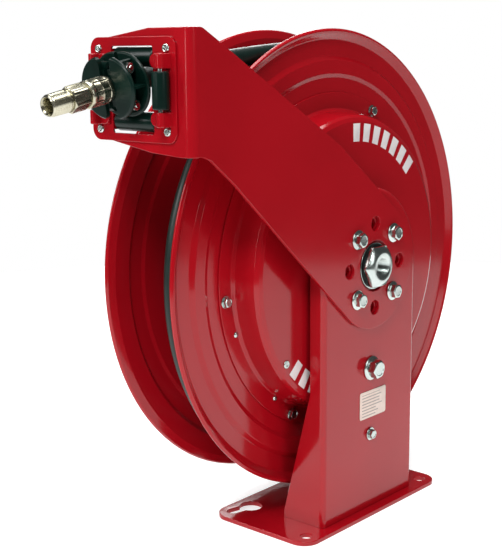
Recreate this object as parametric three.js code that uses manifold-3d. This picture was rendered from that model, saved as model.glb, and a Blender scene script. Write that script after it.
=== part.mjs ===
// Spring-retractable single-pedestal hose reel, millimetres, +Z up.
// Origin: centre of the base plate's underside. +X runs along the spool axis
// towards the pedestal, -Y is the side where the hose comes out.
import * as THREE from 'three';
import { mergeVertices } from 'three/addons/utils/BufferGeometryUtils.js';
import Module from 'manifold-3d';

const wasm = await Module();
wasm.setup();

// ---------------------------------------------------------------- dimensions
const AXIS_Z = 290.5;            // spool axis above the floor
const FLANGE_R = 260;            // spool flange radius
const RIM_RIGHT_X = 1.2;         // mid-plane of the right rim bead
const SPOOL_MID_X = -46.9;       // middle of the spool
const SHEET = 1.6;               // flange sheet
const DRUM_R = 146.4;            // drum outer radius
const HOSE_R = 10;               // hose outer radius
const HOSE_X = -16.2;            // column of the outgoing hose
const WIND_R = 238;              // radius of the outermost turn (centre line)
const TILT = THREE.MathUtils.degToRad(10.8);    // slope of the hose end
const LEAVE = THREE.MathUtils.degToRad(3.0);    // slope of the hose where it leaves the winding
const BASE_T = 5;                // base plate thickness
const BASE_HX = 70, BASE_HY = 131;              // base plate half sizes
const BOLT_X = 54, BOLT_Y = 112; // base fixing holes
const WEB_X = 58;                // pedestal web, outer face
const PED_HW = 87;               // pedestal half width, also its top radius
const STEEL = 4;                 // pedestal and arm sheet
const ARM_X = 62.3;              // guide arm, outer face
const ARM_Y = -288.3;            // guide arm front plate, outer face
const PCD_R = 47.3;              // radius of the eight-hole pattern
const GAP = 0.3;                 // clearance between touching pieces
const OUT_X = -11.8, OUT_Z = 491.7;             // centre of the roller outlet
const ROLLER_R = 8;
const SHAFT_R = 17;
const STOP_S0 = 296.5;           // stop's rear face, distance in front of the axis

// ----------------------------------------------------------------- materials
const mat = (color, roughness, metalness) => new THREE.MeshStandardMaterial({ color, roughness, metalness });
const red = mat(0xa81c24, 0.22, 0.0);
const zinc = mat(0xc9d0cc, 0.3, 0.9);
const olive = mat(0xa9a184, 0.35, 0.9);
const black = mat(0x15201e, 0.45, 0.0);
const rubber = mat(0x1a2a26, 0.6, 0.0);
const steel = mat(0x8c8f90, 0.4, 0.9);
const cream = mat(0xe9dccb, 0.5, 0.0);

// ------------------------------------------------------------------- helpers
// Welds a geometry, drops collapsed triangles and turns the faces outwards.
function weld(geometry) {
  const g = geometry.clone();
  for (const k of Object.keys(g.attributes)) if (k !== 'position') g.deleteAttribute(k);
  const m = mergeVertices(g, 1e-3);
  const p = m.attributes.position;
  const src = m.index.array;
  const keep = [];
  let vol = 0;
  const a = new THREE.Vector3(), b = new THREE.Vector3(), c = new THREE.Vector3();
  for (let i = 0; i < src.length; i += 3) {
    const [i0, i1, i2] = [src[i], src[i + 1], src[i + 2]];
    if (i0 === i1 || i1 === i2 || i0 === i2) continue;
    a.fromBufferAttribute(p, i0); b.fromBufferAttribute(p, i1); c.fromBufferAttribute(p, i2);
    vol += a.dot(b.clone().cross(c));
    keep.push(i0, i1, i2);
  }
  if (vol < 0) for (let i = 0; i < keep.length; i += 3) [keep[i + 1], keep[i + 2]] = [keep[i + 2], keep[i + 1]];
  const out = new THREE.BufferGeometry();
  out.setAttribute('position', new THREE.BufferAttribute(new Float32Array(p.array), 3));
  out.setIndex(keep);
  return out;
}
const solid = (geometry) => {
  const g = weld(geometry);
  return new wasm.Manifold(new wasm.Mesh({
    numProp: 3,
    vertProperties: new Float32Array(g.attributes.position.array),
    triVerts: new Uint32Array(g.index.array),
  }));
};
const geom = (m) => {
  const mesh = m.getMesh();
  const g = new THREE.BufferGeometry();
  const n = mesh.vertProperties.length / mesh.numProp;
  const pos = new Float32Array(n * 3);
  for (let i = 0; i < n; i++) for (let k = 0; k < 3; k++) pos[3 * i + k] = mesh.vertProperties[i * mesh.numProp + k];
  g.setAttribute('position', new THREE.BufferAttribute(pos, 3));
  g.setIndex(Array.from(mesh.triVerts));
  return g;
};
const cut = (a, ...bs) => bs.reduce((s, b) => s.subtract(b), a);
const join = (a, ...bs) => bs.reduce((s, b) => s.add(b), a);

const basis = (x, y, z) => new THREE.Matrix4().makeBasis(new THREE.Vector3(...x), new THREE.Vector3(...y), new THREE.Vector3(...z));
const TO_X = basis([0, 1, 0], [0, 0, 1], [1, 0, 0]);       // profile (y, z) pushed along +X
const TO_Y = basis([1, 0, 0], [0, 0, 1], [0, -1, 0]);      // profile (x, z) pushed along -Y
const shapeOf = (pts) => { const s = new THREE.Shape(); pts.forEach(([x, y], i) => (i ? s.lineTo(x, y) : s.moveTo(x, y))); s.closePath(); return s; };
const push = (shape, depth, opt = {}) => new THREE.ExtrudeGeometry(shape, { depth, bevelEnabled: false, curveSegments: 8, steps: 1, ...opt });
// profile in (y, z), from x0 to x1
const alongX = (pts, x0, x1, opt) => solid(push(Array.isArray(pts) ? shapeOf(pts) : pts, x1 - x0, opt).applyMatrix4(TO_X).translate(x0, 0, 0));
// profile in (x, z), from y0 to y1
const alongY = (pts, y0, y1, opt) => solid(push(Array.isArray(pts) ? shapeOf(pts) : pts, y1 - y0, opt).applyMatrix4(TO_Y).translate(0, y1, 0));
// profile in (x, y), from z0 to z1
const alongZ = (pts, z0, z1, opt) => solid(push(Array.isArray(pts) ? shapeOf(pts) : pts, z1 - z0, opt).translate(0, 0, z0));
const boxAt = (x0, x1, y0, y1, z0, z1) => solid(new THREE.BoxGeometry(x1 - x0, y1 - y0, z1 - z0).translate((x0 + x1) / 2, (y0 + y1) / 2, (z0 + z1) / 2));

// Lathe about the X axis through (y, z). Profile points are [r, x].
function latheX(pts, seg = 48, y = 0, z = AXIS_Z) {
  const closed = pts[0][0] > 1e-6 || pts[pts.length - 1][0] > 1e-6;
  const v = pts.map(([r, x]) => new THREE.Vector2(r, x));
  if (closed) v.push(v[0].clone());
  return new THREE.LatheGeometry(v, seg).rotateZ(-Math.PI / 2).translate(0, y, z);
}
// Lathe about the outgoing hose's axis. Profile points are [r, s], s counted along the hose from the stop's rear face.
const HOSE_DIR = new THREE.Vector3(0, -Math.cos(TILT), -Math.sin(TILT));
const HOSE_UP = new THREE.Vector3(0, -Math.sin(TILT), Math.cos(TILT));
const TAN_ANG = Math.PI / 2 + LEAVE;
const TAN_Y = WIND_R * Math.cos(TAN_ANG), TAN_Z = AXIS_Z + WIND_R * Math.sin(TAN_ANG);
const STOP_Y = -STOP_S0, STOP_Z = 497.3;
// local axes: x = X, y = hose direction s, z = HOSE_UP  (right-handed: X x s = up is negative, so x is mirrored by weld if needed)
// path of the hose between the winding and the stop, as [y, z]
const LEAD = Array.from({ length: 9 }, (_, i) => {
  const t = 0.41 + 0.53 * i / 8, t2 = t * t, t3 = t2 * t;
  const len = Math.hypot(STOP_Y - TAN_Y, STOP_Z - TAN_Z);
  const h = [2 * t3 - 3 * t2 + 1, t3 - 2 * t2 + t, -2 * t3 + 3 * t2, t3 - t2];
  return [h[0] * TAN_Y - h[1] * len * Math.cos(LEAVE) + h[2] * STOP_Y - h[3] * len * Math.cos(TILT),
    h[0] * TAN_Z - h[1] * len * Math.sin(LEAVE) + h[2] * STOP_Z - h[3] * len * Math.sin(TILT)];
});
const HOSE_FRAME = new THREE.Matrix4().makeBasis(new THREE.Vector3(1, 0, 0), HOSE_DIR, HOSE_UP).setPosition(HOSE_X, STOP_Y, STOP_Z);
function latheS(pts, seg = 24, dx = 0) {
  const closed = pts[0][0] > 1e-6 || pts[pts.length - 1][0] > 1e-6;
  const v = pts.map(([r, s]) => new THREE.Vector2(r, s));
  if (closed) v.push(v[0].clone());
  return new THREE.LatheGeometry(v, seg).translate(dx, 0, 0).applyMatrix4(HOSE_FRAME);
}
const localS = (g) => g.applyMatrix4(HOSE_FRAME);

const arcPts = (cx, cy, r, a0, a1, n) => Array.from({ length: n + 1 }, (_, i) => {
  const a = THREE.MathUtils.degToRad(a0 + (a1 - a0) * i / n);
  return [cx + r * Math.cos(a), cy + r * Math.sin(a)];
});
const roundRect = (x0, x1, y0, y1, r, n = 4) => [
  ...arcPts(x1 - r, y0 + r, r, -90, 0, n), ...arcPts(x1 - r, y1 - r, r, 0, 90, n),
  ...arcPts(x0 + r, y1 - r, r, 90, 180, n), ...arcPts(x0 + r, y0 + r, r, 180, 270, n),
];
const circle = (cx, cy, r, n = 16) => arcPts(cx, cy, r, 0, 360 - 360 / n, n - 1);
const hexagon = (cx, cy, af, turn = 0) => arcPts(cx, cy, af / Math.sqrt(3), turn, turn + 300, 5);
const drillX = (y, z, r, x0, x1, n = 16) => alongX(circle(y, z, r, n), x0, x1);
const drillY = (x, z, r, y0, y1, n = 12) => alongY(circle(x, z, r, n), y0, y1);
const drillZ = (x, y, r, z0, z1, n = 14) => alongZ(circle(x, y, r, n), z0, z1);

const reel = new THREE.Group();
function add(name, shape, material) {
  const g = shape.isBufferGeometry ? weld(shape) : weld(geom(shape));
  g.computeVertexNormals();
  const mesh = new THREE.Mesh(g, material);
  mesh.name = name;
  reel.add(mesh);
  return mesh;
}
const polar = (r, deg) => [r * Math.cos(THREE.MathUtils.degToRad(deg)), r * Math.sin(THREE.MathUtils.degToRad(deg))];

// ---------------------------------------------------------------- base plate
// Plate with round holes on the pedestal side and keyhole slots on the spool side.
{
  let plate = alongZ(roundRect(-BASE_HX, BASE_HX, -BASE_HY, BASE_HY, 20), 0, BASE_T);
  for (const sy of [-1, 1]) {
    plate = cut(plate,
      drillZ(BOLT_X, sy * BOLT_Y, 6.75, -1, BASE_T + 1),
      drillZ(-BOLT_X, sy * BOLT_Y, 6.75, -1, BASE_T + 1),
      drillZ(-48, sy * 88, 13, -1, BASE_T + 1, 18),
      alongZ([[-BOLT_X - 6.5, sy * BOLT_Y], [-BOLT_X + 6.5, sy * BOLT_Y], [-42.5, sy * 92], [-55.5, sy * 92]], -1, BASE_T + 1));
  }
  add('base_plate', plate, red);
}

// ------------------------------------------------------------------ pedestal
// Folded channel with a round top; its side flanges widen towards the foot.
{
  const outline = (w, z0) => shapeOf([[-w, z0], ...arcPts(0, AXIS_Z, w, 180, 0, 18), [w, z0]]);
  const skin = (w, x0, x1, b, z0) => alongX(outline(w, z0), x0, x1 - b,
    { bevelEnabled: true, bevelSize: b, bevelThickness: b, bevelOffset: -b, bevelSegments: 2 });
  const side = alongY([[1.5, BASE_T + GAP], [WEB_X + 1, BASE_T + GAP], [WEB_X + 1, 420], [38.4, 420], [38.4, 156], [1.5, 13.5]], -100, 100);
  let ped = skin(PED_HW, -20, WEB_X, 6, -20).intersect(side);
  ped = cut(ped, skin(PED_HW - STEEL, -40, WEB_X - STEEL, 3, -40));
  ped = cut(ped, drillX(0, AXIS_Z, SHAFT_R + 0.8, 40, 70, 20));
  for (let k = 0; k < 8; k++) { const [y, z] = polar(PCD_R, 45 * k); ped = cut(ped, drillX(y, AXIS_Z + z, 5.6, 40, 70, 10)); }
  ped = cut(ped, drillX(0, AXIS_Z - 118.3, 6.6, 40, 70, 12), drillX(0, AXIS_Z - 196.5, 3.5, 40, 70, 8));
  add('pedestal', ped, red);
}

// ----------------------------------------------------------------- guide arm
// Flat side plate bolted on the pedestal, bent square to carry the roller outlet.
{
  const sidePts = [[-276, 257.4], [-272, 257.0], [-236, 236.9], [-194.1, 212.4], [-149.1, 186.4], [-101, 158.6], [-66, 138.2], [-44, 123.6],
    ...arcPts(0, 0, 71.2, 52.4, -131.7, 16), [-212, 94.5], [-231.2, 111.8], [-254.4, 129.8], [-263, 136.6], [-272, 139.9], [-276, 140.4]].map(([y, z]) => [y, z + AXIS_Z]);
  let arm = alongX(sidePts, ARM_X - STEEL, ARM_X);
  const ro = 9, ri = ro - STEEL, xc = ARM_X - ro, yc = ARM_Y + ro;
  const ell = [[-70, ARM_Y], ...arcPts(xc, yc, ro, -90, 0, 6), [ARM_X, -274.5], [ARM_X - STEEL, -274.5], ...arcPts(xc, yc, ri, 0, -90, 6), [-70, ARM_Y + STEEL]];
  let bent = alongZ(ell, 425, 560);
  const front = [[-57, 445.3], [9, 433.6], [46, 430.9], [64, 430.9], [64, 547.9], [9, 547.9], [-57, 539.0], ...arcPts(-57.5, 526, 12.5, 100, 180, 4), ...arcPts(-57.5, 457.8, 12.5, 180, 262, 4)];
  bent = bent.intersect(alongY(front, -300, -270));
  arm = arm.add(bent);
  arm = cut(arm, alongY(roundRect(OUT_X - 33.5, OUT_X + 33.5, OUT_Z - 43.5, OUT_Z + 43.5, 3, 3), -300, -270));
  arm = cut(arm, drillX(0, AXIS_Z, 28.5, 50, 70, 20));
  for (let k = 0; k < 8; k++) { const [y, z] = polar(PCD_R, 45 * k); arm = cut(arm, drillX(y, AXIS_Z + z, 8.3, 50, 70, 12)); }
  for (const sx of [-1, 1]) for (const sz of [-1, 1]) arm = cut(arm, drillY(OUT_X + sx * 45.7, OUT_Z + sz * 37.7, 3.1, -300, -270, 8));
  add('guide_arm', arm, red);
}

// -------------------------------------------------------------- roller frame
// Riveted window plate with ears for the horizontal rollers and half-round
// bulges for the pins of the vertical rollers.
const FRAME_Y1 = ARM_Y - GAP, FRAME_Y0 = FRAME_Y1 - 2;
const HZ = 30, HY = -281.8, WIDE_R = 9.4;
const SIDES = [
  { name: 'left', sx: -1, x: OUT_X - 47.4, y: FRAME_Y0 - 6.6, r: 6, k: 4, tip: OUT_X - 31.2, root: OUT_X - 49.4 },
  { name: 'right', sx: 1, x: OUT_X + 46.4, y: FRAME_Y0 - 8.6, r: ROLLER_R, k: 4.6, tip: OUT_X + 26.3, root: OUT_X + 43.4 },
];
{
  let plate = alongY(roundRect(OUT_X - 57.5, OUT_X + 57.5, OUT_Z - 48.5, OUT_Z + 48.5, 11, 4), FRAME_Y0, FRAME_Y1);
  plate = cut(plate, alongY(roundRect(OUT_X - 28, OUT_X + 28, OUT_Z - 41, OUT_Z + 41, 2, 2), -300, -270));
  for (const { sx, x: cx, y: cy, k, tip, root } of SIDES) {
    const xo = OUT_X + sx * 28, xi = OUT_X + sx * 30;
    for (const sz of [-1, 1]) {
      const z0 = OUT_Z + sz * 22, z1 = OUT_Z + sz * 38;
      const ear = boxAt(Math.min(xo, xi), Math.max(xo, xi), HY - 1, HY + 5, Math.min(z0, z1), Math.max(z0, z1))
        .add(boxAt(Math.min(xo, xi), Math.max(xo, xi), FRAME_Y0 + 0.5, HY, Math.min(z0, z1), Math.max(z0, z1)));
      plate = plate.add(ear);
      // bulge over the vertical roller's pin end
      const bz0 = OUT_Z + sz * 19.4, bz1 = OUT_Z + sz * 33.4;
      const bulge = alongZ([[cx - k, FRAME_Y0 + 0.6], ...arcPts(cx, cy, k, 180, 360, 6), [cx + k, FRAME_Y0 + 0.6]], Math.min(bz0, bz1), Math.max(bz0, bz1));
      plate = plate.add(bulge);
      // strap from the bulge towards the window, with a round end in front of the horizontal roller
      const zc = (bz0 + bz1) / 2, hr = 6.8;
      const strap = sx > 0
        ? [[root, zc - hr], [root, zc + hr], ...arcPts(tip + hr, zc, hr, 90, 270, 6)]
        : [[root, zc + hr], [root, zc - hr], ...arcPts(tip - hr, zc, hr, -90, 90, 6)];
      plate = plate.add(alongY(strap, FRAME_Y0 - 2.8, FRAME_Y0 - 1.0))
        .add(boxAt(Math.min(xi + sx * 1.5, root), Math.max(xi + sx * 1.5, root), FRAME_Y0 - 2.0, FRAME_Y0 + 0.5, zc - hr, zc + hr));
    }
    // pin holes
    plate = cut(plate, alongZ(circle(cx, cy, 2.95, 10), OUT_Z - 34, OUT_Z + 34));
  }
  for (const sz of [-1, 1]) plate = cut(plate, alongX(circle(HY, OUT_Z + sz * HZ, 2.95, 10), OUT_X - 40, OUT_X + 40));
  for (const sx of [-1, 1]) for (const sz of [-1, 1]) plate = cut(plate, drillY(OUT_X + sx * 45.7, OUT_Z + sz * 37.7, 3.1, -300, -270, 8));
  add('roller_frame', plate, red);
}
{
  let n = 0;
  for (const sx of [-1, 1]) for (const sz of [-1, 1]) {
    n += 1;
    const y0 = FRAME_Y0 - GAP;
    const rivet = new THREE.LatheGeometry([[0, -1.0], [1.8, 1.7], [3.6, 1.7], [4.3, 0], [2.6, 0], [2.6, -7.3], [3.8, -7.3], [3.4, -8.8], [0, -8.8]].map(([r, h]) => new THREE.Vector2(r, h)), 8)
      .rotateX(Math.PI);
    add(`outlet_rivet_${n}`, rivet.translate(OUT_X + sx * 45.7, y0, OUT_Z + sz * 37.7), zinc);
  }
}

// ------------------------------------------------------- rollers on their pins
const rollerProfile = (half, r) => [[2.95, -half], [r - 0.8, -half], [r, -half + 0.8], [r, half - 0.8], [r - 0.8, half], [2.95, half]];
const pinProfile = (half) => [[0, -half], [2.5, -half], [2.5, half], [0, half]];
const latheAt = (pts, seg, axis, x, y, z) => {
  const closed = pts[0][0] > 1e-6;
  const v = pts.map(([r, h]) => new THREE.Vector2(r, h));
  if (closed) v.push(v[0].clone());
  const g = new THREE.LatheGeometry(v, seg);
  if (axis === 'x') g.rotateZ(-Math.PI / 2);
  if (axis === 'z') g.rotateX(Math.PI / 2);
  return g.translate(x, y, z);
};
for (const [name, sz] of [['top', 1], ['bottom', -1]]) {
  add(`roller_${name}`, latheAt(rollerProfile(26.9, WIDE_R), 14, 'x', OUT_X, HY, OUT_Z + sz * HZ), black);
  add(`roller_pin_${name}`, latheAt(pinProfile(31.2), 10, 'x', OUT_X, HY, OUT_Z + sz * HZ), zinc);
}
for (const { name, x, y, r } of SIDES) {
  add(`roller_${name}`, latheAt(rollerProfile(17.2, r), 14, 'z', x, y, OUT_Z), black);
  add(`roller_pin_${name}`, latheAt(pinProfile(32), 10, 'z', x, y, OUT_Z), zinc);
}

// ---------------------------------------------------------- shaft and its nuts
// Hollow fixed shaft: hexagon and pipe thread outside, spool bearings inside.
{
  let shaft = solid(latheX([[0, -106], [SHAFT_R - 1, -106], [SHAFT_R, -105], [SHAFT_R, 64.2], [19.8, 64.2], [19.8, 66], [0, 66]], 24));
  shaft = shaft.add(alongX(hexagon(0, AXIS_Z, 44.5, 0), 64.1, 73.4).intersect(solid(latheX([[0, 60], [26, 60], [26, 70], [21.5, 73.4], [0, 73.4]], 24))));
  shaft = cut(shaft,
    solid(latheX([[0, -30], [8.2, -30], [8.2, 44], [9.5, 52], [10.2, 70], [10.9, 75], [0, 75]], 16)),
    alongY(circle(-25, AXIS_Z, 4.2, 12), -30, 30));
  add('main_shaft', shaft, zinc);
}
add('shaft_gasket', latheX([[17.4, 61.9], [24.6, 61.9], [24.6, 63.8], [17.4, 63.8]], 20), black);
add('shaft_washer', latheX([[17.4, 58.3], [26.2, 58.3], [26.2, 61.6], [17.4, 61.6]], 24), zinc);
add('hub_plate', (() => {
  let p = solid(latheX([[17.4, 47.7], [58.5, 47.7], [58.5, 53.7], [17.4, 53.7]], 28));
  for (let k = 0; k < 4; k++) { const [y, z] = polar(PCD_R, 45 + 90 * k); p = cut(p, drillX(y, AXIS_Z + z, 5.2, 40, 70, 10)); }
  return p;
})(), red);
add('shaft_locknut', cut(alongX(hexagon(0, AXIS_Z, 46, 30), 39.6, 47.4), drillX(0, AXIS_Z, 17.5, 30, 60, 20)), zinc);
add('spring_arbor', latheX([[17.4, 2.4], [24, 2.4], [24, 30.6], [17.4, 30.6]], 20), steel);
add('shaft_end_nut', cut(alongX(hexagon(0, AXIS_Z, 46, 0), -103.8, -98.4), drillX(0, AXIS_Z, 17.5, -110, -90, 20)), zinc);

// flange bolts that clamp arm and pedestal to the tapped hub plate
{
  let n = 0;
  for (const [sy, sz] of [[-1, 1], [1, 1], [-1, -1], [1, -1]]) {
    n += 1;
    const [y, z] = [sy * PCD_R * Math.SQRT1_2, AXIS_Z + sz * PCD_R * Math.SQRT1_2];
    const x = ARM_X + GAP;
    let bolt = solid(latheX([[0, 46.4], [4.7, 46.4], [4.7, x + 0.2], [10.8, x], [10.8, x + 1.4], [7.8, x + 2.8], [0, x + 2.8]], 12, y, z));
    bolt = bolt.add(alongX(hexagon(y, z, 14.3, 12 * n), x + 1, x + 8.6).intersect(solid(latheX([[0, x], [9, x], [9, x + 7.4], [7.2, x + 8.6], [0, x + 8.6]], 12, y, z))));
    add(`arm_bolt_${n}`, bolt, zinc);
  }
}

// -------------------------------------------------------------- latch (pawl)
const PAWL_Z = AXIS_Z - 118.3;
{
  const x = WEB_X + GAP;
  let bolt = solid(latheX([[0, 34.1], [8.6, 34.1], [8.6, 34.9], [6.1, 34.9], [6.1, x + 0.2], [14, x + 0.2], [14, x + 2.0], [10.6, x + 4.0], [0, x + 4.0]], 16, 0, PAWL_Z));
  bolt = bolt.add(alongX(hexagon(0, PAWL_Z, 19, 8), x + 2, x + 12.4).intersect(solid(latheX([[0, x], [12, x], [12, x + 10.6], [9.4, x + 12.4], [0, x + 12.4]], 12, 0, PAWL_Z))));
  add('pawl_bolt', bolt, zinc);
  add('pawl_sleeve', latheX([[6.5, 39.1], [9.5, 39.1], [9.5, 53.7], [6.5, 53.7]], 14, 0, PAWL_Z), zinc);
  const s = WEB_X + GAP;
  add('spring_screw', solid(latheX([[0, 39.5], [3.0, 39.5], [3.0, s + 0.2], [7.6, s], [7.6, s + 1.2], [0, s + 1.2]], 10, 0, AXIS_Z - 196.5))
    .add(alongX(hexagon(0, AXIS_Z - 196.5, 9.5, 0), s + 1, s + 5.6)), zinc);
}
// Toothed wheel on the spring case; eight notches.
{
  const pts = [];
  const steps = 96;
  for (let i = 0; i < steps; i++) {
    const a = 360 * i / steps;
    // notches are centred on the pawl's direction (straight down) and every 45 degrees
    const off = ((a + 22.5) % 45) - 22.5;
    pts.push(polar(Math.abs(off) < 12 ? 69 : 78, a));
  }
  const wheel = cut(alongX(pts.map(([y, z]) => [y, z + AXIS_Z]), 33.7, 39.0), drillX(0, AXIS_Z, 34, 30, 42, 20));
  add('ratchet_wheel', wheel, steel);
}
// Pawl: swings on the bolt; at rest its nose hangs clear of the wheel.
const PAWL_REST = -34;            // degrees away from straight up at rest
{
  let pawl = alongX([[-8, -16], [8, -16], [9, 0], [7, 16], [3.4, 38], [2.6, 44.5], [-2.6, 44.5], [-3.4, 38], [-7, 16], [-9, 0]], 35.2, 38.8);
  pawl = cut(pawl, alongX(circle(0, 0, 6.6, 16), 20, 60), alongX(circle(0, -11.5, 2.0, 10), 20, 60));
  const g = geom(pawl);
  g.rotateX(THREE.MathUtils.degToRad(PAWL_REST)).translate(0, 0, PAWL_Z);
  add('pawl', g, steel);
}
// Return spring between the pawl's tail and the anchor screw.
{
  const t = THREE.MathUtils.degToRad(PAWL_REST);
  const hole = new THREE.Vector3(39.2, 11.5 * Math.sin(t), PAWL_Z - 11.5 * Math.cos(t));
  const b = new THREE.Vector3(39.2, 0, AXIS_Z - 196.5 + 8);
  const a = hole.clone().add(b.clone().sub(hole).normalize().multiplyScalar(12));
  const d = b.clone().sub(a), len = d.length();
  const g = new THREE.LatheGeometry([[0, 0], [4, 0], [4, len], [0, len]].map(([r, h]) => new THREE.Vector2(r, h)), 10);
  g.applyQuaternion(new THREE.Quaternion().setFromUnitVectors(new THREE.Vector3(0, 1, 0), d.normalize())).translate(a.x, a.y, a.z);
  add('pawl_spring', g, steel);
}
// rating label on the pedestal web
add('rating_label', alongX(roundRect(-21, 29, 114, 146, 2.5, 3), WEB_X + GAP, WEB_X + GAP + 0.5), cream);

// --------------------------------------------------------------------- spool
// Sheet flange: hub boss, flat, shallow step, outer annulus and rolled rim.
const flange = (mx) => [
  [25.3, -14], [34, -14], [34, -2.1], [206, -2.1], [210, -0.4], [226, -0.4], [230.5, -4.4], [250, -4.4], [258.5, -1.6],
  [260, 1.2], [257.4, 4.2], [254.4, 2.6], [248, -2.8], [230, -2.8], [225.4, 1.2], [210.6, 1.2], [206, -0.5], [25.3, -0.5],
].map(([r, x]) => [r, mx(x)]);
const mirror = (x) => 2 * SPOOL_MID_X - x;
add('flange_right', latheX(flange((x) => x), 40), red);
add('flange_left', latheX(flange(mirror), 40), red);
add('drum_core', latheX([[144.2, -91.4], [DRUM_R, -91.4], [DRUM_R, -2.4], [144.2, -2.4]], 32), red);
add('wound_hose', latheX([[DRUM_R + 0.9, -87.2], [166.4, -87.2], [166.8, -67], [207, -67], [207.4, -46.8], [227.4, -46.8], [227.7, -26.6], [248, -26.6], [248, -6.2], [DRUM_R + 0.9, -6.2]], 36), rubber);
add('spring_case', latheX([[26.5, 31.4], [158, 31.4], [162.6, 26], [167.5, -0.2], [190, -0.2], [190, 1.4], [172.0, 1.4], [169.5, 4.8], [165.5, 27.5], [163, 31.6], [158.4, 33.4], [26.5, 33.4]], 36), red);
for (let k = 0; k < 6; k++) {
  const [y, z] = polar(182, 6 + 60 * k);
  const zz = AXIS_Z + z;
  add(`case_bolt_${k + 1}`, solid(latheX([[0, 1.7], [6.6, 1.7], [6.6, 2.8], [0, 2.8]], 10, y, zz)).add(alongX(hexagon(y, zz, 9.6, 17 * k), 2.5, 7.2)), zinc);
}
add('bearing_right', latheX([[17.4, -14], [25, -14], [25, -0.2], [28.5, -0.2], [28.5, 1.6], [17.4, 1.6]], 20), steel);
add('bearing_left', latheX([[17.4, mirror(-14)], [25, mirror(-14)], [25, mirror(-0.2)], [28.5, mirror(-0.2)], [28.5, mirror(1.6)], [17.4, mirror(1.6)]], 20), steel);
// swivel housing on the shaft with its radial port
{
  const zt = AXIS_Z + 32;
  let body = solid(latheX([[17.4, -40], [27, -40], [27, -18], [17.4, -18]], 20)).add(alongZ(circle(-29, 0, 9, 14), AXIS_Z + 22, zt));
  body = cut(body, alongZ(circle(-29, 0, 5.2, 12), AXIS_Z + 10, zt + 4), solid(latheX([[0, -60], [17.4, -60], [17.4, 0], [0, 0]], 20)));
  add('swivel_body', body, steel);
  // pipe from the swivel to the start of the hose at the drum wall
  const pts = [[-29, 0, AXIS_Z + 32.4], [-29, 0, AXIS_Z + 60], [-33, -2, AXIS_Z + 84], [-46, -8, AXIS_Z + 104], [-62, -24, AXIS_Z + 117], [-73, -46, AXIS_Z + 114], [-77, -66, AXIS_Z + 104]].map((p) => new THREE.Vector3(...p));
  add('hose_riser', push(shapeOf(circle(0, 0, 7.5, 8)), 0, { extrudePath: new THREE.CatmullRomCurve3(pts), steps: 14 }), steel);
}
// coiled power spring inside the case
{
  const turns = 4, n = 56, t = 2.2, r0 = 27, r1 = 154;
  const inner = [], outer = [];
  for (let i = 0; i <= n; i++) {
    const a = 2 * Math.PI * turns * i / n, r = r0 + (r1 - r0) * i / n;
    inner.push([r * Math.cos(a), AXIS_Z + r * Math.sin(a)]);
    outer.push([(r + t) * Math.cos(a), AXIS_Z + (r + t) * Math.sin(a)]);
  }
  add('power_spring', alongX([...inner, ...outer.reverse()], 3.4, 29.6), steel);
}

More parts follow.
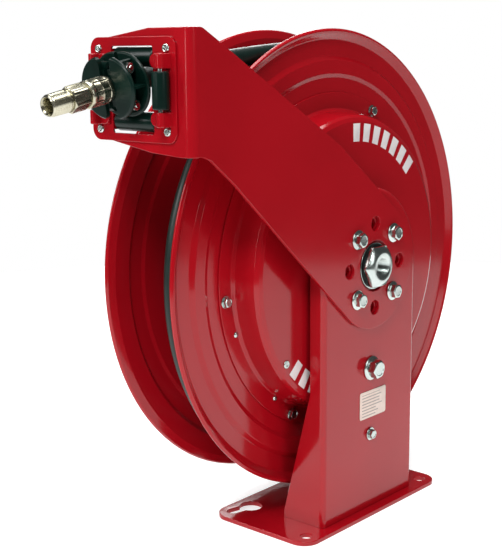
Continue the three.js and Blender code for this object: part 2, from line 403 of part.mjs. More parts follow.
// --------------------------------------------------- hose end: stop and fitting
const S_FRONT = 22.8;
{
  const rear = [[0, 0], [28.8, 0], [30.4, 1.6], [30.4, 3.4], [29.4, 4.4], [0, 4.4]];
  const front = [[0, 18.4], [28.3, 18.4], [29.3, 19.4], [29.3, S_FRONT - 1.6], [27.7, S_FRONT], [0, S_FRONT]];
  const OFF = 6;
  for (const [name, sx] of [['left', -1], ['right', 1]]) {
    let half = solid(latheS(rear, 20, sx * OFF)).intersect(solid(localS(new THREE.BoxGeometry(60, 80, 90).translate(sx * 32.5, 11.4, 0))));
    half = half.add(solid(latheS(front, 20, sx * OFF)).intersect(solid(localS(new THREE.BoxGeometry(60, 80, 90).translate(sx * 39.3, 11.4, 0)))));
    half = half.add(solid(latheS([[0, 3], [17.5, 3], [17.5, 20], [0, 20]], 20)));
    const cyl = (x0, x1, z, r, n = 8) => solid(localS(new THREE.LatheGeometry([[0, x0], [r, x0], [r, x1], [0, x1]].map(([a, b]) => new THREE.Vector2(a, b)), n).rotateZ(-Math.PI / 2).translate(0, 11.4, z)));
    for (const sz of [-1, 1]) half = half.add(cyl(Math.min(sx * 4, sx * 20), Math.max(sx * 4, sx * 20), sz * 17, 6.4));
    half = half.add(solid(localS(new THREE.BoxGeometry(14, 16, 3).translate(sx * 25.5, 11.4, 0))));
    for (const a of [62, -62]) {
      const rad = THREE.MathUtils.degToRad(a);
      half = half.add(solid(localS(new THREE.BoxGeometry(12, 16, 2.6).translate(21.6, 0, 0).rotateY(-rad * sx + (sx < 0 ? Math.PI : 0)).translate(sx * OFF, 11.4, 0))));
    }
    const keep = solid(localS(new THREE.BoxGeometry(60, 80, 90).translate(sx * 32.5, 11.4, 0)));
    half = half.intersect(keep);
    half = cut(half, solid(latheS([[0, -5], [10.4, -5], [10.4, 40], [0, 40]], 16)));
    for (const sz of [-1, 1]) half = cut(half, cyl(-60, 60, sz * 17, 3.05, 8));
    add(`stop_half_${name}`, half, black);
  }
  for (const [n, sz] of [[1, 1], [2, -1]]) {
    const g = new THREE.LatheGeometry([[0, -24.5], [4.6, -24.5], [4.6, -20.4], [2.45, -20.4], [2.45, 26], [0, 26]].map(([a, b]) => new THREE.Vector2(a, b)), 10).rotateZ(-Math.PI / 2).translate(0, 11.4, sz * 17);
    add(`stop_bolt_${n}`, localS(g), zinc);
    const nut = cut(solid(localS(push(shapeOf(hexagon(0, 0, 9.5, 20)), 4.4).applyMatrix4(TO_X).translate(20.4, 11.4, sz * 17))),
      solid(localS(new THREE.LatheGeometry([[0, 10], [2.85, 10], [2.85, 40], [0, 40]].map(([a, b]) => new THREE.Vector2(a, b)), 10).rotateZ(-Math.PI / 2).translate(0, 11.4, sz * 17))));
    add(`stop_nut_${n}`, nut, zinc);
  }
  add('ferrule', latheS([[10.4, 23.2], [12.9, 23.2], [12.9, 48.6], [12.2, 50.2], [7.2, 50.2], [7.2, 46.6], [10.4, 46.6]], 18), olive);
  let nip = solid(localS(push(shapeOf(hexagon(0, 0, 22.2, 10)), 19.5).applyMatrix4(basis([1, 0, 0], [0, 0, 1], [0, 1, 0])).translate(0, 50.6, 0)));
  nip = nip.intersect(solid(latheS([[0, 50], [11.4, 50.5], [12.9, 52.4], [12.9, 68.2], [11.4, 70.2], [0, 70.2]], 12)));
  nip = nip.add(solid(latheS([[0, 60], [9.4, 60], [9.4, 71.6], [10.65, 73], [10.2, 92.2], [9.3, 93.8], [0, 93.8]], 16)));
  nip = cut(nip, solid(latheS([[0, 45], [6.6, 45], [6.6, 91], [8.3, 94.2], [0, 95]], 12)));
  add('end_nipple', nip, olive);
  // free stretch of the hose, from the winding through the rollers into the ferrule
  const leadPts = LEAD.map(([y, z]) => new THREE.Vector3(HOSE_X, y, z));
  for (const k of [-6, 8, 22, 36, 46.2]) leadPts.push(new THREE.Vector3(HOSE_X, STOP_Y, STOP_Z).addScaledVector(HOSE_DIR, k));
  add('hose_lead', push(shapeOf(circle(0, 0, HOSE_R, 12)), 0, { extrudePath: new THREE.CatmullRomCurve3(leadPts), steps: 22 }), rubber);
}

export default reel;
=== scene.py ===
import math
import bpy
import bmesh
from math import sin, cos, tan, pi, radians, degrees, hypot, atan2, sqrt
from mathutils import Vector, Matrix


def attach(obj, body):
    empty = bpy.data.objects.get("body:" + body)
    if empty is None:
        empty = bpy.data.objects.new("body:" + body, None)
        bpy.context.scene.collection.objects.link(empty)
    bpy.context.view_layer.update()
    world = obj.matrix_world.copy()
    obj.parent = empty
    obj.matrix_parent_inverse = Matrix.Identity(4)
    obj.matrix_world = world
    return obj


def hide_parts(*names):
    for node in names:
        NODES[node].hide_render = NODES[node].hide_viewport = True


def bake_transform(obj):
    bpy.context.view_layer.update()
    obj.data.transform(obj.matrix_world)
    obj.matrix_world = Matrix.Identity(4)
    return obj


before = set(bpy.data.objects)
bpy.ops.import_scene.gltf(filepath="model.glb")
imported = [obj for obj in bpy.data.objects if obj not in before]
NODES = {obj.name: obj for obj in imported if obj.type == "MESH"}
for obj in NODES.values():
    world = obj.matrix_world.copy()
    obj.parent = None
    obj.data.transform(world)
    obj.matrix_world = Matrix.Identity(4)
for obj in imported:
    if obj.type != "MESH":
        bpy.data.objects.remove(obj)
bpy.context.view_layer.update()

MM = 0.001
SC = bpy.context.scene

# ---------------------------------------------------------------- dimensions (mm)
AXIS_Z = 290.5
MID_X = -46.9
OUT_X, OUT_Z = -11.8, 491.7
ARM_X, ARM_Y, STEEL = 62.3, -288.3, 4.0
WEB_X, PED_HW = 58.0, 87.0
PCD_R = 47.3
HOSE_X, HOSE_R, WIND_R = -16.2, 10.0, 238.0
TILT = radians(10.8)        # slope of the hose end
LEAVE = radians(3.0)        # slope of the hose where it leaves the winding
FRAME_Y1 = ARM_Y - 0.3
FRAME_Y0 = FRAME_Y1 - 2.0
HZ, HY, WIDE_R = 30.0, -281.8, 9.4
# vertical rollers: name, side, centre x, centre y, radius, knuckle radius, strap tip, strap root
SIDES = (("left", -1, OUT_X - 47.4, FRAME_Y0 - 6.6, 6.0, 4.0, OUT_X - 31.2, OUT_X - 49.4),
         ("right", 1, OUT_X + 46.4, FRAME_Y0 - 8.6, 8.0, 4.6, OUT_X + 26.3, OUT_X + 43.4))
PAWL_Z = AXIS_Z - 118.3
SCREW_Z = AXIS_Z - 196.5
HOSE_DIR = Vector((0, -cos(TILT), -sin(TILT)))
HOSE_UP = Vector((0, -sin(TILT), cos(TILT)))
TAN_A = pi / 2 + LEAVE
TAN_P = Vector((HOSE_X, WIND_R * cos(TAN_A), AXIS_Z + WIND_R * sin(TAN_A)))
STOP_O = Vector((HOSE_X, -296.5, 497.3))
X_AX, Y_AX, Z_AX = Vector((1, 0, 0)), Vector((0, 1, 0)), Vector((0, 0, 1))


def mirror_x(x):
    return 2 * MID_X - x


# ---------------------------------------------------------------- materials
class NT:
    """Small helper to wire a material's nodes."""

    def __init__(self, name):
        self.mat = bpy.data.materials.new(name)
        self.mat.use_nodes = True
        self.nt = self.mat.node_tree
        self.nt.nodes.clear()
        self.out = self.nt.nodes.new("ShaderNodeOutputMaterial")
        self.b = self.nt.nodes.new("ShaderNodeBsdfPrincipled")
        self.nt.links.new(self.b.outputs[0], self.out.inputs[0])

    def n(self, kind, **kw):
        node = self.nt.nodes.new(kind)
        for k, v in kw.items():
            setattr(node, k, v)
        return node

    def l(self, a, b):
        self.nt.links.new(a, b)

    def coords(self, scale=(1, 1, 1)):
        tc = self.n("ShaderNodeTexCoord")
        mp = self.n("ShaderNodeMapping")
        mp.inputs["Scale"].default_value = scale
        self.l(tc.outputs["Object"], mp.inputs["Vector"])
        return mp.outputs["Vector"]

    def noise(self, vec, scale, detail=3.0, rough=0.5):
        t = self.n("ShaderNodeTexNoise")
        t.inputs["Scale"].default_value = scale
        t.inputs["Detail"].default_value = detail
        t.inputs["Roughness"].default_value = rough
        self.l(vec, t.inputs["Vector"])
        return t.outputs["Fac"]

    def ramp(self, fac, stops):
        r = self.n("ShaderNodeValToRGB")
        e = r.color_ramp.elements
        while len(e) < len(stops):
            e.new(0.5)
        for el, (p, c) in zip(e, stops):
            el.position = p
            el.color = (*c, 1) if len(c) == 3 else c
        self.l(fac, r.inputs["Fac"])
        return r.outputs["Color"]

    def maprange(self, fac, lo, hi, a=0.0, b=1.0):
        m = self.n("ShaderNodeMapRange")
        m.inputs["From Min"].default_value = a
        m.inputs["From Max"].default_value = b
        m.inputs["To Min"].default_value = lo
        m.inputs["To Max"].default_value = hi
        self.l(fac, m.inputs["Value"])
        return m.outputs["Result"]

    def bump(self, height, strength, dist=0.001, normal=None):
        b = self.n("ShaderNodeBump")
        b.inputs["Strength"].default_value = strength
        b.inputs["Distance"].default_value = dist
        self.l(height, b.inputs["Height"])
        if normal is not None:
            self.l(normal, b.inputs["Normal"])
        return b.outputs["Normal"]


def srgb(r, g, b):
    def f(v):
        v /= 255.0
        return v / 12.92 if v <= 0.04045 else ((v + 0.055) / 1.055) ** 2.4
    return (f(r), f(g), f(b))


def paint():
    """Glossy red powder coat: slight orange peel, faint depth of colour, dust in the gloss."""
    m = NT("red_paint")
    v = m.coords()
    big = m.noise(v, 7.0, 2.0)
    col = m.ramp(big, [(0.3, srgb(158, 10, 22)), (0.7, srgb(168, 13, 26))])
    m.l(col, m.b.inputs["Base Color"])
    fine = m.noise(v, 60.0, 3.0)
    m.l(m.maprange(fine, 0.10, 0.17), m.b.inputs["Roughness"])
    peel = m.noise(v, 420.0, 2.0, 0.45)
    m.l(m.bump(peel, 0.035, 0.0006), m.b.inputs["Normal"])
    m.b.inputs["IOR"].default_value = 1.42
    m.b.inputs["Coat Weight"].default_value = 0.08
    m.b.inputs["Coat Roughness"].default_value = 0.05
    return m.mat


def metal(name, lo, hi, rough, grain=900.0, stretch=(1, 1, 1), bump=0.05, tint_scale=35.0):
    m = NT(name)
    v = m.coords()
    c = m.noise(v, tint_scale, 3.0)
    m.l(m.ramp(c, [(0.3, lo), (0.7, hi)]), m.b.inputs["Base Color"])
    m.b.inputs["Metallic"].default_value = 1.0
    v2 = m.coords(stretch)
    g = m.noise(v2, grain, 4.0, 0.6)
    m.l(m.maprange(g, rough - 0.06, rough + 0.08), m.b.inputs["Roughness"])
    m.l(m.bump(g, bump, 0.0004), m.b.inputs["Normal"])
    return m.mat


def plastic(name, lo, hi, rough, bump=0.05, scale=700.0, level=0.5):
    m = NT(name)
    v = m.coords()
    c = m.noise(v, 30.0, 3.0)
    m.l(m.ramp(c, [(0.3, lo), (0.7, hi)]), m.b.inputs["Base Color"])
    g = m.noise(v, scale, 3.0, 0.6)
    m.l(m.maprange(g, rough - 0.06, rough + 0.08), m.b.inputs["Roughness"])
    m.l(m.bump(g, bump, 0.0004), m.b.inputs["Normal"])
    m.b.inputs["IOR"].default_value = 1.47
    m.b.inputs["Specular IOR Level"].default_value = level
    return m.mat


def hose_cover():
    """Smooth synthetic rubber cover with faint wrap marks and a dry bloom."""
    m = NT("hose_rubber")
    v = m.coords()
    c = m.noise(v, 55.0, 4.0)
    m.l(m.ramp(c, [(0.3, srgb(8, 26, 22)), (0.72, srgb(14, 36, 31))]), m.b.inputs["Base Color"])
    g = m.noise(v, 900.0, 3.0, 0.6)
    w = m.noise(m.coords((1, 14, 14)), 40.0, 2.0)
    add = m.n("ShaderNodeMath", operation="ADD")
    m.l(g, add.inputs[0])
    m.l(w, add.inputs[1])
    m.l(m.maprange(c, 0.34, 0.48), m.b.inputs["Roughness"])
    m.l(m.bump(add.outputs[0], 0.12, 0.0005), m.b.inputs["Normal"])
    m.b.inputs["IOR"].default_value = 1.5
    m.b.inputs["Specular IOR Level"].default_value = 0.3
    return m.mat


def label_paper():
    """Cream film label with neutral grey bars in place of any printing."""
    m = NT("label_film")
    tc = m.n("ShaderNodeTexCoord")
    sep = m.n("ShaderNodeSeparateXYZ")
    m.l(tc.outputs["Object"], sep.inputs[0])

    def mth(op, a, b=None, c=None):
        k = m.n("ShaderNodeMath", operation=op)
        for i, s in enumerate((a, b, c)):
            if s is None:
                continue
            if isinstance(s, (int, float)):
                k.inputs[i].default_value = s
            else:
                m.l(s, k.inputs[i])
        return k.outputs[0]
    y, z = sep.outputs["Y"], sep.outputs["Z"]
    # bars every 3.6 mm, 1.2 mm high, of uneven length
    row = mth("DIVIDE", mth("SUBTRACT", z, 0.1165), 0.0036)
    frac = mth("FRACT", row)
    idx = mth("FLOOR", row)
    on_row = mth("LESS_THAN", frac, 0.36)
    wave = mth("FRACT", mth("MULTIPLY", mth("SINE", mth("MULTIPLY", idx, 12.9)), 43.7))
    right_end = mth("ADD", mth("MULTIPLY", wave, 0.016), 0.009)
    in_r = mth("LESS_THAN", y, right_end)
    in_l = mth("GREATER_THAN", y, -0.017)
    z_ok = mth("MULTIPLY", mth("GREATER_THAN", z, 0.1165), mth("LESS_THAN", z, 0.1425))
    mask = mth("MULTIPLY", mth("MULTIPLY", on_row, z_ok), mth("MULTIPLY", in_r, in_l))
    mask = mth("MULTIPLY", mask, 0.62)
    v = m.coords()
    tone = m.ramp(m.noise(v, 120.0), [(0.3, srgb(226, 205, 194)), (0.7, srgb(236, 218, 206))])
    mix = m.n("ShaderNodeMix", data_type="RGBA")
    m.l(mask, mix.inputs["Factor"])
    m.l(tone, mix.inputs[6])
    mix.inputs[7].default_value = (*srgb(96, 84, 82), 1)
    m.l(mix.outputs[2], m.b.inputs["Base Color"])
    m.b.inputs["Roughness"].default_value = 0.38
    m.l(m.bump(m.noise(v, 900.0), 0.05, 0.0003), m.b.inputs["Normal"])
    return m.mat


def white_ink():
    m = NT("white_stripe_paint")
    v = m.coords()
    m.l(m.ramp(m.noise(v, 40.0), [(0.3, srgb(222, 216, 215)), (0.7, srgb(236, 231, 230))]), m.b.inputs["Base Color"])
    m.b.inputs["Roughness"].default_value = 0.35
    m.l(m.bump(m.noise(v, 600.0), 0.04, 0.0003), m.b.inputs["Normal"])
    return m.mat


RED = paint()
ZINC = metal("zinc_plate", srgb(178, 190, 186), srgb(208, 216, 212), 0.2, bump=0.015)
OLIVE = metal("yellow_zinc", srgb(158, 154, 132), srgb(196, 192, 172), 0.24, tint_scale=60.0, bump=0.012)
STEEL_M = metal("bare_steel", srgb(120, 122, 122), srgb(150, 151, 150), 0.34)
PLASTIC = plastic("black_plastic", srgb(3, 24, 19), srgb(7, 33, 27), 0.30, level=0.22)
SEAL = plastic("seal_rubber", srgb(10, 16, 16), srgb(17, 24, 24), 0.5, level=0.3)
HOSE = hose_cover()
LABEL = label_paper()
INK = white_ink()


# ---------------------------------------------------------------- mesh helpers
def mesh_from(name, verts, faces):
    me = bpy.data.meshes.new(name)
    me.from_pydata([(v[0] * MM, v[1] * MM, v[2] * MM) for v in verts], [], faces)
    me.update()
    return me


def finish_mesh(me, smooth=32.0, weld=2e-6):
    bm = bmesh.new()
    bm.from_mesh(me)
    bmesh.ops.remove_doubles(bm, verts=bm.verts, dist=weld)
    bmesh.ops.recalc_face_normals(bm, faces=bm.faces)
    bm.to_mesh(me)
    bm.free()
    me.polygons.foreach_set("use_smooth", [True] * len(me.polygons))
    me.set_sharp_from_angle(angle=radians(smooth))
    me.update()


def piece(name, me, mat, body, replaces=(), smooth=32.0, weighted=False, bevel=0.0, clean=True):
    if clean:
        finish_mesh(me, smooth)
    ob = bpy.data.objects.new(name, me)
    SC.collection.objects.link(ob)
    me.materials.clear()
    me.materials.append(mat)
    if bevel:
        b = ob.modifiers.new("edge", "BEVEL")
        b.width = bevel * MM
        b.segments = 2
        b.limit_method = "ANGLE"
        b.angle_limit = radians(38)
        b.use_clamp_overlap = True
    if weighted or bevel:
        w = ob.modifiers.new("normals", "WEIGHTED_NORMAL")
        w.keep_sharp = True
        w.weight = 60
    if body:
        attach(ob, body)
    if replaces:
        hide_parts(*replaces)
    return ob


def fillet(pts, radii, closed=True, n=5):
    """Rounds the corners of a 2D polyline. radii: one number, or a dict index -> radius."""
    out = []
    N = len(pts)
    for i, p in enumerate(pts):
        r = radii.get(i, 0) if isinstance(radii, dict) else radii
        if not closed and i in (0, N - 1) or r <= 0:
            out.append(tuple(p))
            continue
        a, b, c = Vector(pts[i - 1]), Vector(p), Vector(pts[(i + 1) % N])
        u, w = (a - b), (c - b)
        lu, lw = u.length, w.length
        if lu < 1e-6 or lw < 1e-6:
            continue
        u, w = u / lu, w / lw
        ang = math.acos(max(-1, min(1, u.dot(w))))
        if ang > radians(177) or ang < 0.02:
            out.append(tuple(p))
            continue
        t = r / tan(ang / 2)
        tmax = 0.48 * min(lu, lw)
        if t > tmax:
            t = tmax
            r = t * tan(ang / 2)
        m = (u + w).normalized()
        centre = b + m * (r / sin(ang / 2))
        s, e = b + u * t, b + w * t
        a0 = atan2(s[1] - centre[1], s[0] - centre[0])
        a1 = atan2(e[1] - centre[1], e[0] - centre[0])
        d = a1 - a0
        while d > pi:
            d -= 2 * pi
        while d < -pi:
            d += 2 * pi
        k = max(2, int(n * abs(d) / 1.2) + 1)
        for j in range(k + 1):
            q = a0 + d * j / k
            out.append((centre[0] + r * cos(q), centre[1] + r * sin(q)))
    return out


def arc(cx, cy, r, a0, a1, n):
    return [(cx + r * cos(radians(a0 + (a1 - a0) * i / n)), cy + r * sin(radians(a0 + (a1 - a0) * i / n))) for i in range(n + 1)]


def circle(cx, cy, r, n=48, turn=0.0):
    return [(cx + r * cos(2 * pi * i / n + turn), cy + r * sin(2 * pi * i / n + turn)) for i in range(n)]


def round_rect(x0, x1, y0, y1, r, n=10):
    return (arc(x1 - r, y0 + r, r, -90, 0, n) + arc(x1 - r, y1 - r, r, 0, 90, n)
            + arc(x0 + r, y1 - r, r, 90, 180, n) + arc(x0 + r, y0 + r, r, 180, 270, n))


def frame_of(axis):
    w = Vector(axis).normalized()
    ref = Z_AX if abs(w.dot(Z_AX)) < 0.9 else X_AX
    u = ref.cross(w).normalized()
    return u, w.cross(u), w


def rings(name, prof, origin, axis, seg=64, closed=True, cap=True, basis=None):
    """Surface of revolution-like rings. prof items: (r, h) where r may be a function of the angle,
    and h may be a function of the angle too. closed: the profile is a closed loop."""
    u, v, w = basis if basis else frame_of(axis)
    o = Vector(origin)
    verts, idx = [], []
    for r, h in prof:
        const = not callable(r) and r < 1e-6
        row = []
        for j in range(1 if const else seg):
            a = 2 * pi * j / seg
            rr = r(a) if callable(r) else r
            hh = h(a) if callable(h) else h
            row.append(len(verts))
            verts.append(o + u * (rr * cos(a)) + v * (rr * sin(a)) + w * hh)
        idx.append(row)
    faces = []

    def link(A, B):
        if len(A) == 1 and len(B) == 1:
            return
        for j in range(seg):
            k = (j + 1) % seg
            if len(A) == 1:
                faces.append((A[0], B[j], B[k]))
            elif len(B) == 1:
                faces.append((A[j], B[0], A[k]))
            else:
                faces.append((A[j], B[j], B[k], A[k]))
    for A, B in zip(idx, idx[1:]):
        link(A, B)
    if closed and not (len(idx[0]) == 1 and len(idx[-1]) == 1):
        link(idx[-1], idx[0])
    return mesh_from(name, verts, faces)


def merge(name, *meshes):
    bm = bmesh.new()
    for m in meshes:
        bm.from_mesh(m)
    me = bpy.data.meshes.new(name)
    bm.to_mesh(me)
    bm.free()
    return me


def moved(me, matrix):
    me.transform(matrix)
    return me


def plate(name, loops, t, bevel=0.5, res=2):
    """Flat sheet from closed 2D loops (first the outline, then the holes), thickness t, rounded edges.
    It lies in x, y (mm) and runs from z -t/2 to t/2."""
    cu = bpy.data.curves.new(name, "CURVE")
    cu.dimensions = "2D"
    cu.fill_mode = "BOTH"
    cu.extrude = (t / 2 - bevel) * MM
    cu.bevel_depth = bevel * MM
    cu.bevel_resolution = res
    cu.offset = -bevel * MM
    for l in loops:
        sp = cu.splines.new("POLY")
        sp.points.add(len(l) - 1)
        for i, (x, y) in enumerate(l):
            sp.points[i].co = (x * MM, y * MM, 0, 1)
        sp.use_cyclic_u = True
    ob = bpy.data.objects.new(name + "_c", cu)
    SC.collection.objects.link(ob)
    dg = bpy.context.evaluated_depsgraph_get()
    me = bpy.data.meshes.new_from_object(ob.evaluated_get(dg), depsgraph=dg)
    bpy.data.objects.remove(ob)
    bpy.data.curves.remove(cu)
    bm = bmesh.new()
    bm.from_mesh(me)
    bmesh.ops.remove_doubles(bm, verts=bm.verts, dist=1e-6)
    bmesh.ops.recalc_face_normals(bm, faces=bm.faces)
    bm.to_mesh(me)
    bm.free()
    me.name = name
    return me


def bisect(me, axis, values):
    bm = bmesh.new()
    bm.from_mesh(me)
    no = Vector((0, 0, 0))
    no[axis] = 1
    for val in values:
        co = Vector((0, 0, 0))
        co[axis] = val * MM
        bmesh.ops.bisect_plane(bm, geom=bm.verts[:] + bm.edges[:] + bm.faces[:], plane_co=co, plane_no=no, dist=1e-7)
    bm.to_mesh(me)
    bm.free()
    return me


def warp(me, fn):
    for v in me.vertices:
        p = fn(v.co.x / MM, v.co.y / MM, v.co.z / MM)
        v.co = Vector(p) * MM
    me.update()
    return me


def boolean(a, b, op):
    """a op b on meshes, exact solver, returns a new mesh."""
    oa = bpy.data.objects.new("ba", a)
    ob = bpy.data.objects.new("bb", b)
    SC.collection.objects.link(oa)
    SC.collection.objects.link(ob)
    m = oa.modifiers.new("b", "BOOLEAN")
    m.operation = op
    m.object = ob
    m.solver = "EXACT"
    dg = bpy.context.evaluated_depsgraph_get()
    me = bpy.data.meshes.new_from_object(oa.evaluated_get(dg), depsgraph=dg)
    bpy.data.objects.remove(oa)
    bpy.data.objects.remove(ob)
    return me


def clean_for_boolean(me):
    bm = bmesh.new()
    bm.from_mesh(me)
    bmesh.ops.remove_doubles(bm, verts=bm.verts, dist=1e-6)
    bmesh.ops.recalc_face_normals(bm, faces=bm.faces)
    bm.to_mesh(me)
    bm.free()
    return me


def box_mesh(name, x0, x1, y0, y1, z0, z1):
    v = [(x, y, z) for x in (x0, x1) for y in (y0, y1) for z in (z0, z1)]
    f = [(0, 1, 3, 2), (4, 6, 7, 5), (0, 4, 5, 1), (2, 3, 7, 6), (0, 2, 6, 4), (1, 5, 7, 3)]
    return mesh_from(name, v, f)


def tube(name, pts, radius, seg=20, closed=False):
    """Round tube along points; radius may be a list."""
    P = [Vector(p) for p in pts]
    n = len(P)
    T = []
    for i in range(n):
        if closed:
            T.append((P[(i + 1) % n] - P[i - 1]).normalized())
        else:
            T.append((P[min(i + 1, n - 1)] - P[max(i - 1, 0)]).normalized())
    ref = X_AX if abs(T[0].dot(X_AX)) < 0.9 else Z_AX
    u = (ref - T[0] * ref.dot(T[0])).normalized()
    verts, faces = [], []
    for i in range(n):
        u = (u - T[i] * u.dot(T[i])).normalized()
        v = T[i].cross(u)
        r = radius[i] if isinstance(radius, (list, tuple)) else radius
        for j in range(seg):
            a = 2 * pi * j / seg
            verts.append(P[i] + u * (r * cos(a)) + v * (r * sin(a)))
    for i in range(n if closed else n - 1):
        k = (i + 1) % n
        for j in range(seg):
            m = (j + 1) % seg
            faces.append((i * seg + j, i * seg + m, k * seg + m, k * seg + j))
    if not closed:
        verts += [P[0], P[-1]]
        for j in range(seg):
            m = (j + 1) % seg
            faces.append((len(verts) - 2, m, j))
            faces.append((len(verts) - 1, (n - 1) * seg + j, (n - 1) * seg + m))
    return mesh_from(name, verts, faces)


def hex_r(af, turn=0.0):
    def f(a):
        q = (degrees(a) - turn) % 60.0
        return (af / 2) / cos(radians(q - 30.0))
    return f


def hex_head(af, h0, h1, flat_r=None, dish=0.0, turn=0.0, cham=25.0, bottom_r=None):
    """Ring profile of a hexagon from h0 to h1 with its top corners chamfered."""
    R = hex_r(af, turn)
    fr = flat_r if flat_r else af * 0.475
    t = tan(radians(cham))
    prof = []
    prof.append((R, h0))
    prof.append((R, lambda a: h1 - max(0.0, (R(a) - fr)) * t - 0.12))
    prof.append((lambda a: R(a) - 0.12, lambda a: h1 - max(0.0, (R(a) - fr - 0.12)) * t))
    prof.append((fr, h1))
    if dish:
        prof.append((fr * 0.86, h1))
        prof.append((fr * 0.78, h1 - dish))
        prof.append((fr * 0.4, h1 - dish * 1.15))
        prof.append((0, h1 - dish * 1.2))
    else:
        prof.append((fr * 0.6, h1))
        prof.append((0, h1))
    return prof


# ---------------------------------------------------------------- base plate
def build_base():
    loops = [round_rect(-70, 70, -131, 131, 20, 14)]
    for sy in (-1, 1):
        loops.append(circle(54, sy * 112, 6.75))
        # keyhole: narrow round end at the bolt centre, wide end towards the middle
        big, small = Vector((-48, sy * 88)), Vector((-54, sy * 112))
        d = (small - big)
        ln = d.length
        d /= ln
        nrm = Vector((-d.y, d.x))
        rb, rs = 13.0, 6.75
        key = []
        a_in = math.asin(rs / rb)
        base_a = atan2(d.y, d.x)
        for i in range(33):
            a = base_a + a_in + (2 * pi - 2 * a_in) * i / 32
            key.append((big.x + rb * cos(a), big.y + rb * sin(a)))
        for i in range(17):
            a = base_a - pi / 2 + pi * i / 16
            key.append((small.x + rs * cos(a), small.y + rs * sin(a)))
        loops.append(key)
    me = plate("base_plate_sheet", loops, 5.0, 0.7)
    warp(me, lambda x, y, z: (x, y, z + 2.5))
    return piece("base_plate_sheet", me, RED, "frame", ["base_plate"], weighted=True)


# ---------------------------------------------------------------- pedestal
def build_pedestal():
    w, t, ro = PED_HW, STEEL, 6.0
    ri = ro - t
    zb = 5.3

    def flange_end(z):
        if z <= 13.5:
            return 1.5
        if z >= 156:
            return 38.4
        return 1.5 + (z - 13.5) / (156 - 13.5) * (38.4 - 1.5)
    # path: up the -Y side, over the top, down the +Y side: (point y, z, outward normal)
    path = []
    zs = [zb, 9.0, 13.5] + [13.5 + (156 - 13.5) * i / 10 for i in range(1, 11)] + [180, 210, 240, 265, AXIS_Z]
    for z in zs:
        path.append(((-w, z), (-1, 0)))
    for i in range(1, 49):
        a = pi - pi * i / 48
        path.append(((w * cos(a), AXIS_Z + w * sin(a)), (cos(a), sin(a))))
    for z in reversed(zs[:-1]):
        path.append(((w, z), (1, 0)))
    nb = 7
    verts, faces, rows = [], [], []
    for (py, pz), (ny, nz) in path:
        fe = flange_end(pz)
        row = []

        def put(depth_in, x):
            row.append(len(verts))
            verts.append((x, py - ny * depth_in, pz - nz * depth_in))
        # outer skin: web start, fold arc, flange end
        for i in range(nb + 1):
            a = pi / 2 * i / nb
            put(ro - ro * sin(a), WEB_X - ro + ro * cos(a))
        put(0, fe + 0.6)
        put(0.6, fe)
        put(t - 0.6, fe)
        put(t, fe + 0.6)
        for i in range(nb, -1, -1):
            a = pi / 2 * i / nb
            put(ro - ri * sin(a), WEB_X - ro + ri * cos(a))
        rows.append(row)
    m = len(rows[0])
    for A, B in zip(rows, rows[1:]):
        for j in range(m - 1):
            faces.append((A[j], A[j + 1], B[j + 1], B[j]))
    faces.append(tuple(rows[0]))
    faces.append(tuple(reversed(rows[-1])))
    me = mesh_from("ped", verts, faces)
    bm = bmesh.new()
    bm.from_mesh(me)
    bm.verts.ensure_lookup_table()
    # web, front and back, with holes
    holes = [(0, AXIS_Z, 17.8, 64)] + [(PCD_R * cos(pi / 4 * k), AXIS_Z + PCD_R * sin(pi / 4 * k), 5.6, 32) for k in range(8)]
    holes += [(0, PAWL_Z, 6.6, 32), (0, SCREW_Z, 3.5, 24)]
    ch = 0.35
    for side, x, idx in ((0, WEB_X, 0), (1, WEB_X - t, m - 1)):
        edges = []
        prev = None
        for r in rows:
            v = bm.verts[r[idx]]
            if prev is not None:
                e = bm.edges.get((prev, v)) or bm.edges.new((prev, v))
                edges.append(e)
            prev = v
        a, b = bm.verts[rows[0][idx]], bm.verts[rows[-1][idx]]
        edges.append(bm.edges.get((a, b)) or bm.edges.new((a, b)))
        for (hy, hz, hr, n) in holes:
            vs = [bm.verts.new((x * MM, (hy + (hr + ch) * cos(2 * pi * i / n)) * MM, (hz + (hr + ch) * sin(2 * pi * i / n)) * MM)) for i in range(n)]
            for i in range(n):
                edges.append(bm.edges.new((vs[i], vs[(i + 1) % n])))
        bmesh.ops.triangle_fill(bm, use_beauty=True, edges=edges)
        bm.verts.ensure_lookup_table()
    # walls of the holes
    for (hy, hz, hr, n) in holes:
        loops = []
        for x, rr in ((WEB_X, hr + ch), (WEB_X - ch, hr), (WEB_X - t + ch, hr), (WEB_X - t, hr + ch)):
            loops.append([bm.verts.new((x * MM, (hy + rr * cos(2 * pi * i / n)) * MM, (hz + rr * sin(2 * pi * i / n)) * MM)) for i in range(n)])
        for A, B in zip(loops, loops[1:]):
            for i in range(n):
                bm.faces.new((A[i], B[i], B[(i + 1) % n], A[(i + 1) % n]))
    bmesh.ops.remove_doubles(bm, verts=bm.verts, dist=2e-6)
    # bottom edge of the web
    def at(x, y, z):
        return min(bm.verts, key=lambda v: (v.co - Vector((x, y, z)) * MM).length)
    q = [at(WEB_X, -w + ro, zb), at(WEB_X, w - ro, zb), at(WEB_X - t, w - ro, zb), at(WEB_X - t, -w + ro, zb)]
    bm.faces.new(q)
    bmesh.ops.recalc_face_normals(bm, faces=bm.faces)
    bm.to_mesh(me)
    bm.free()
    return piece("pedestal_channel", me, RED, "frame", ["pedestal"], smooth=30, weighted=True)


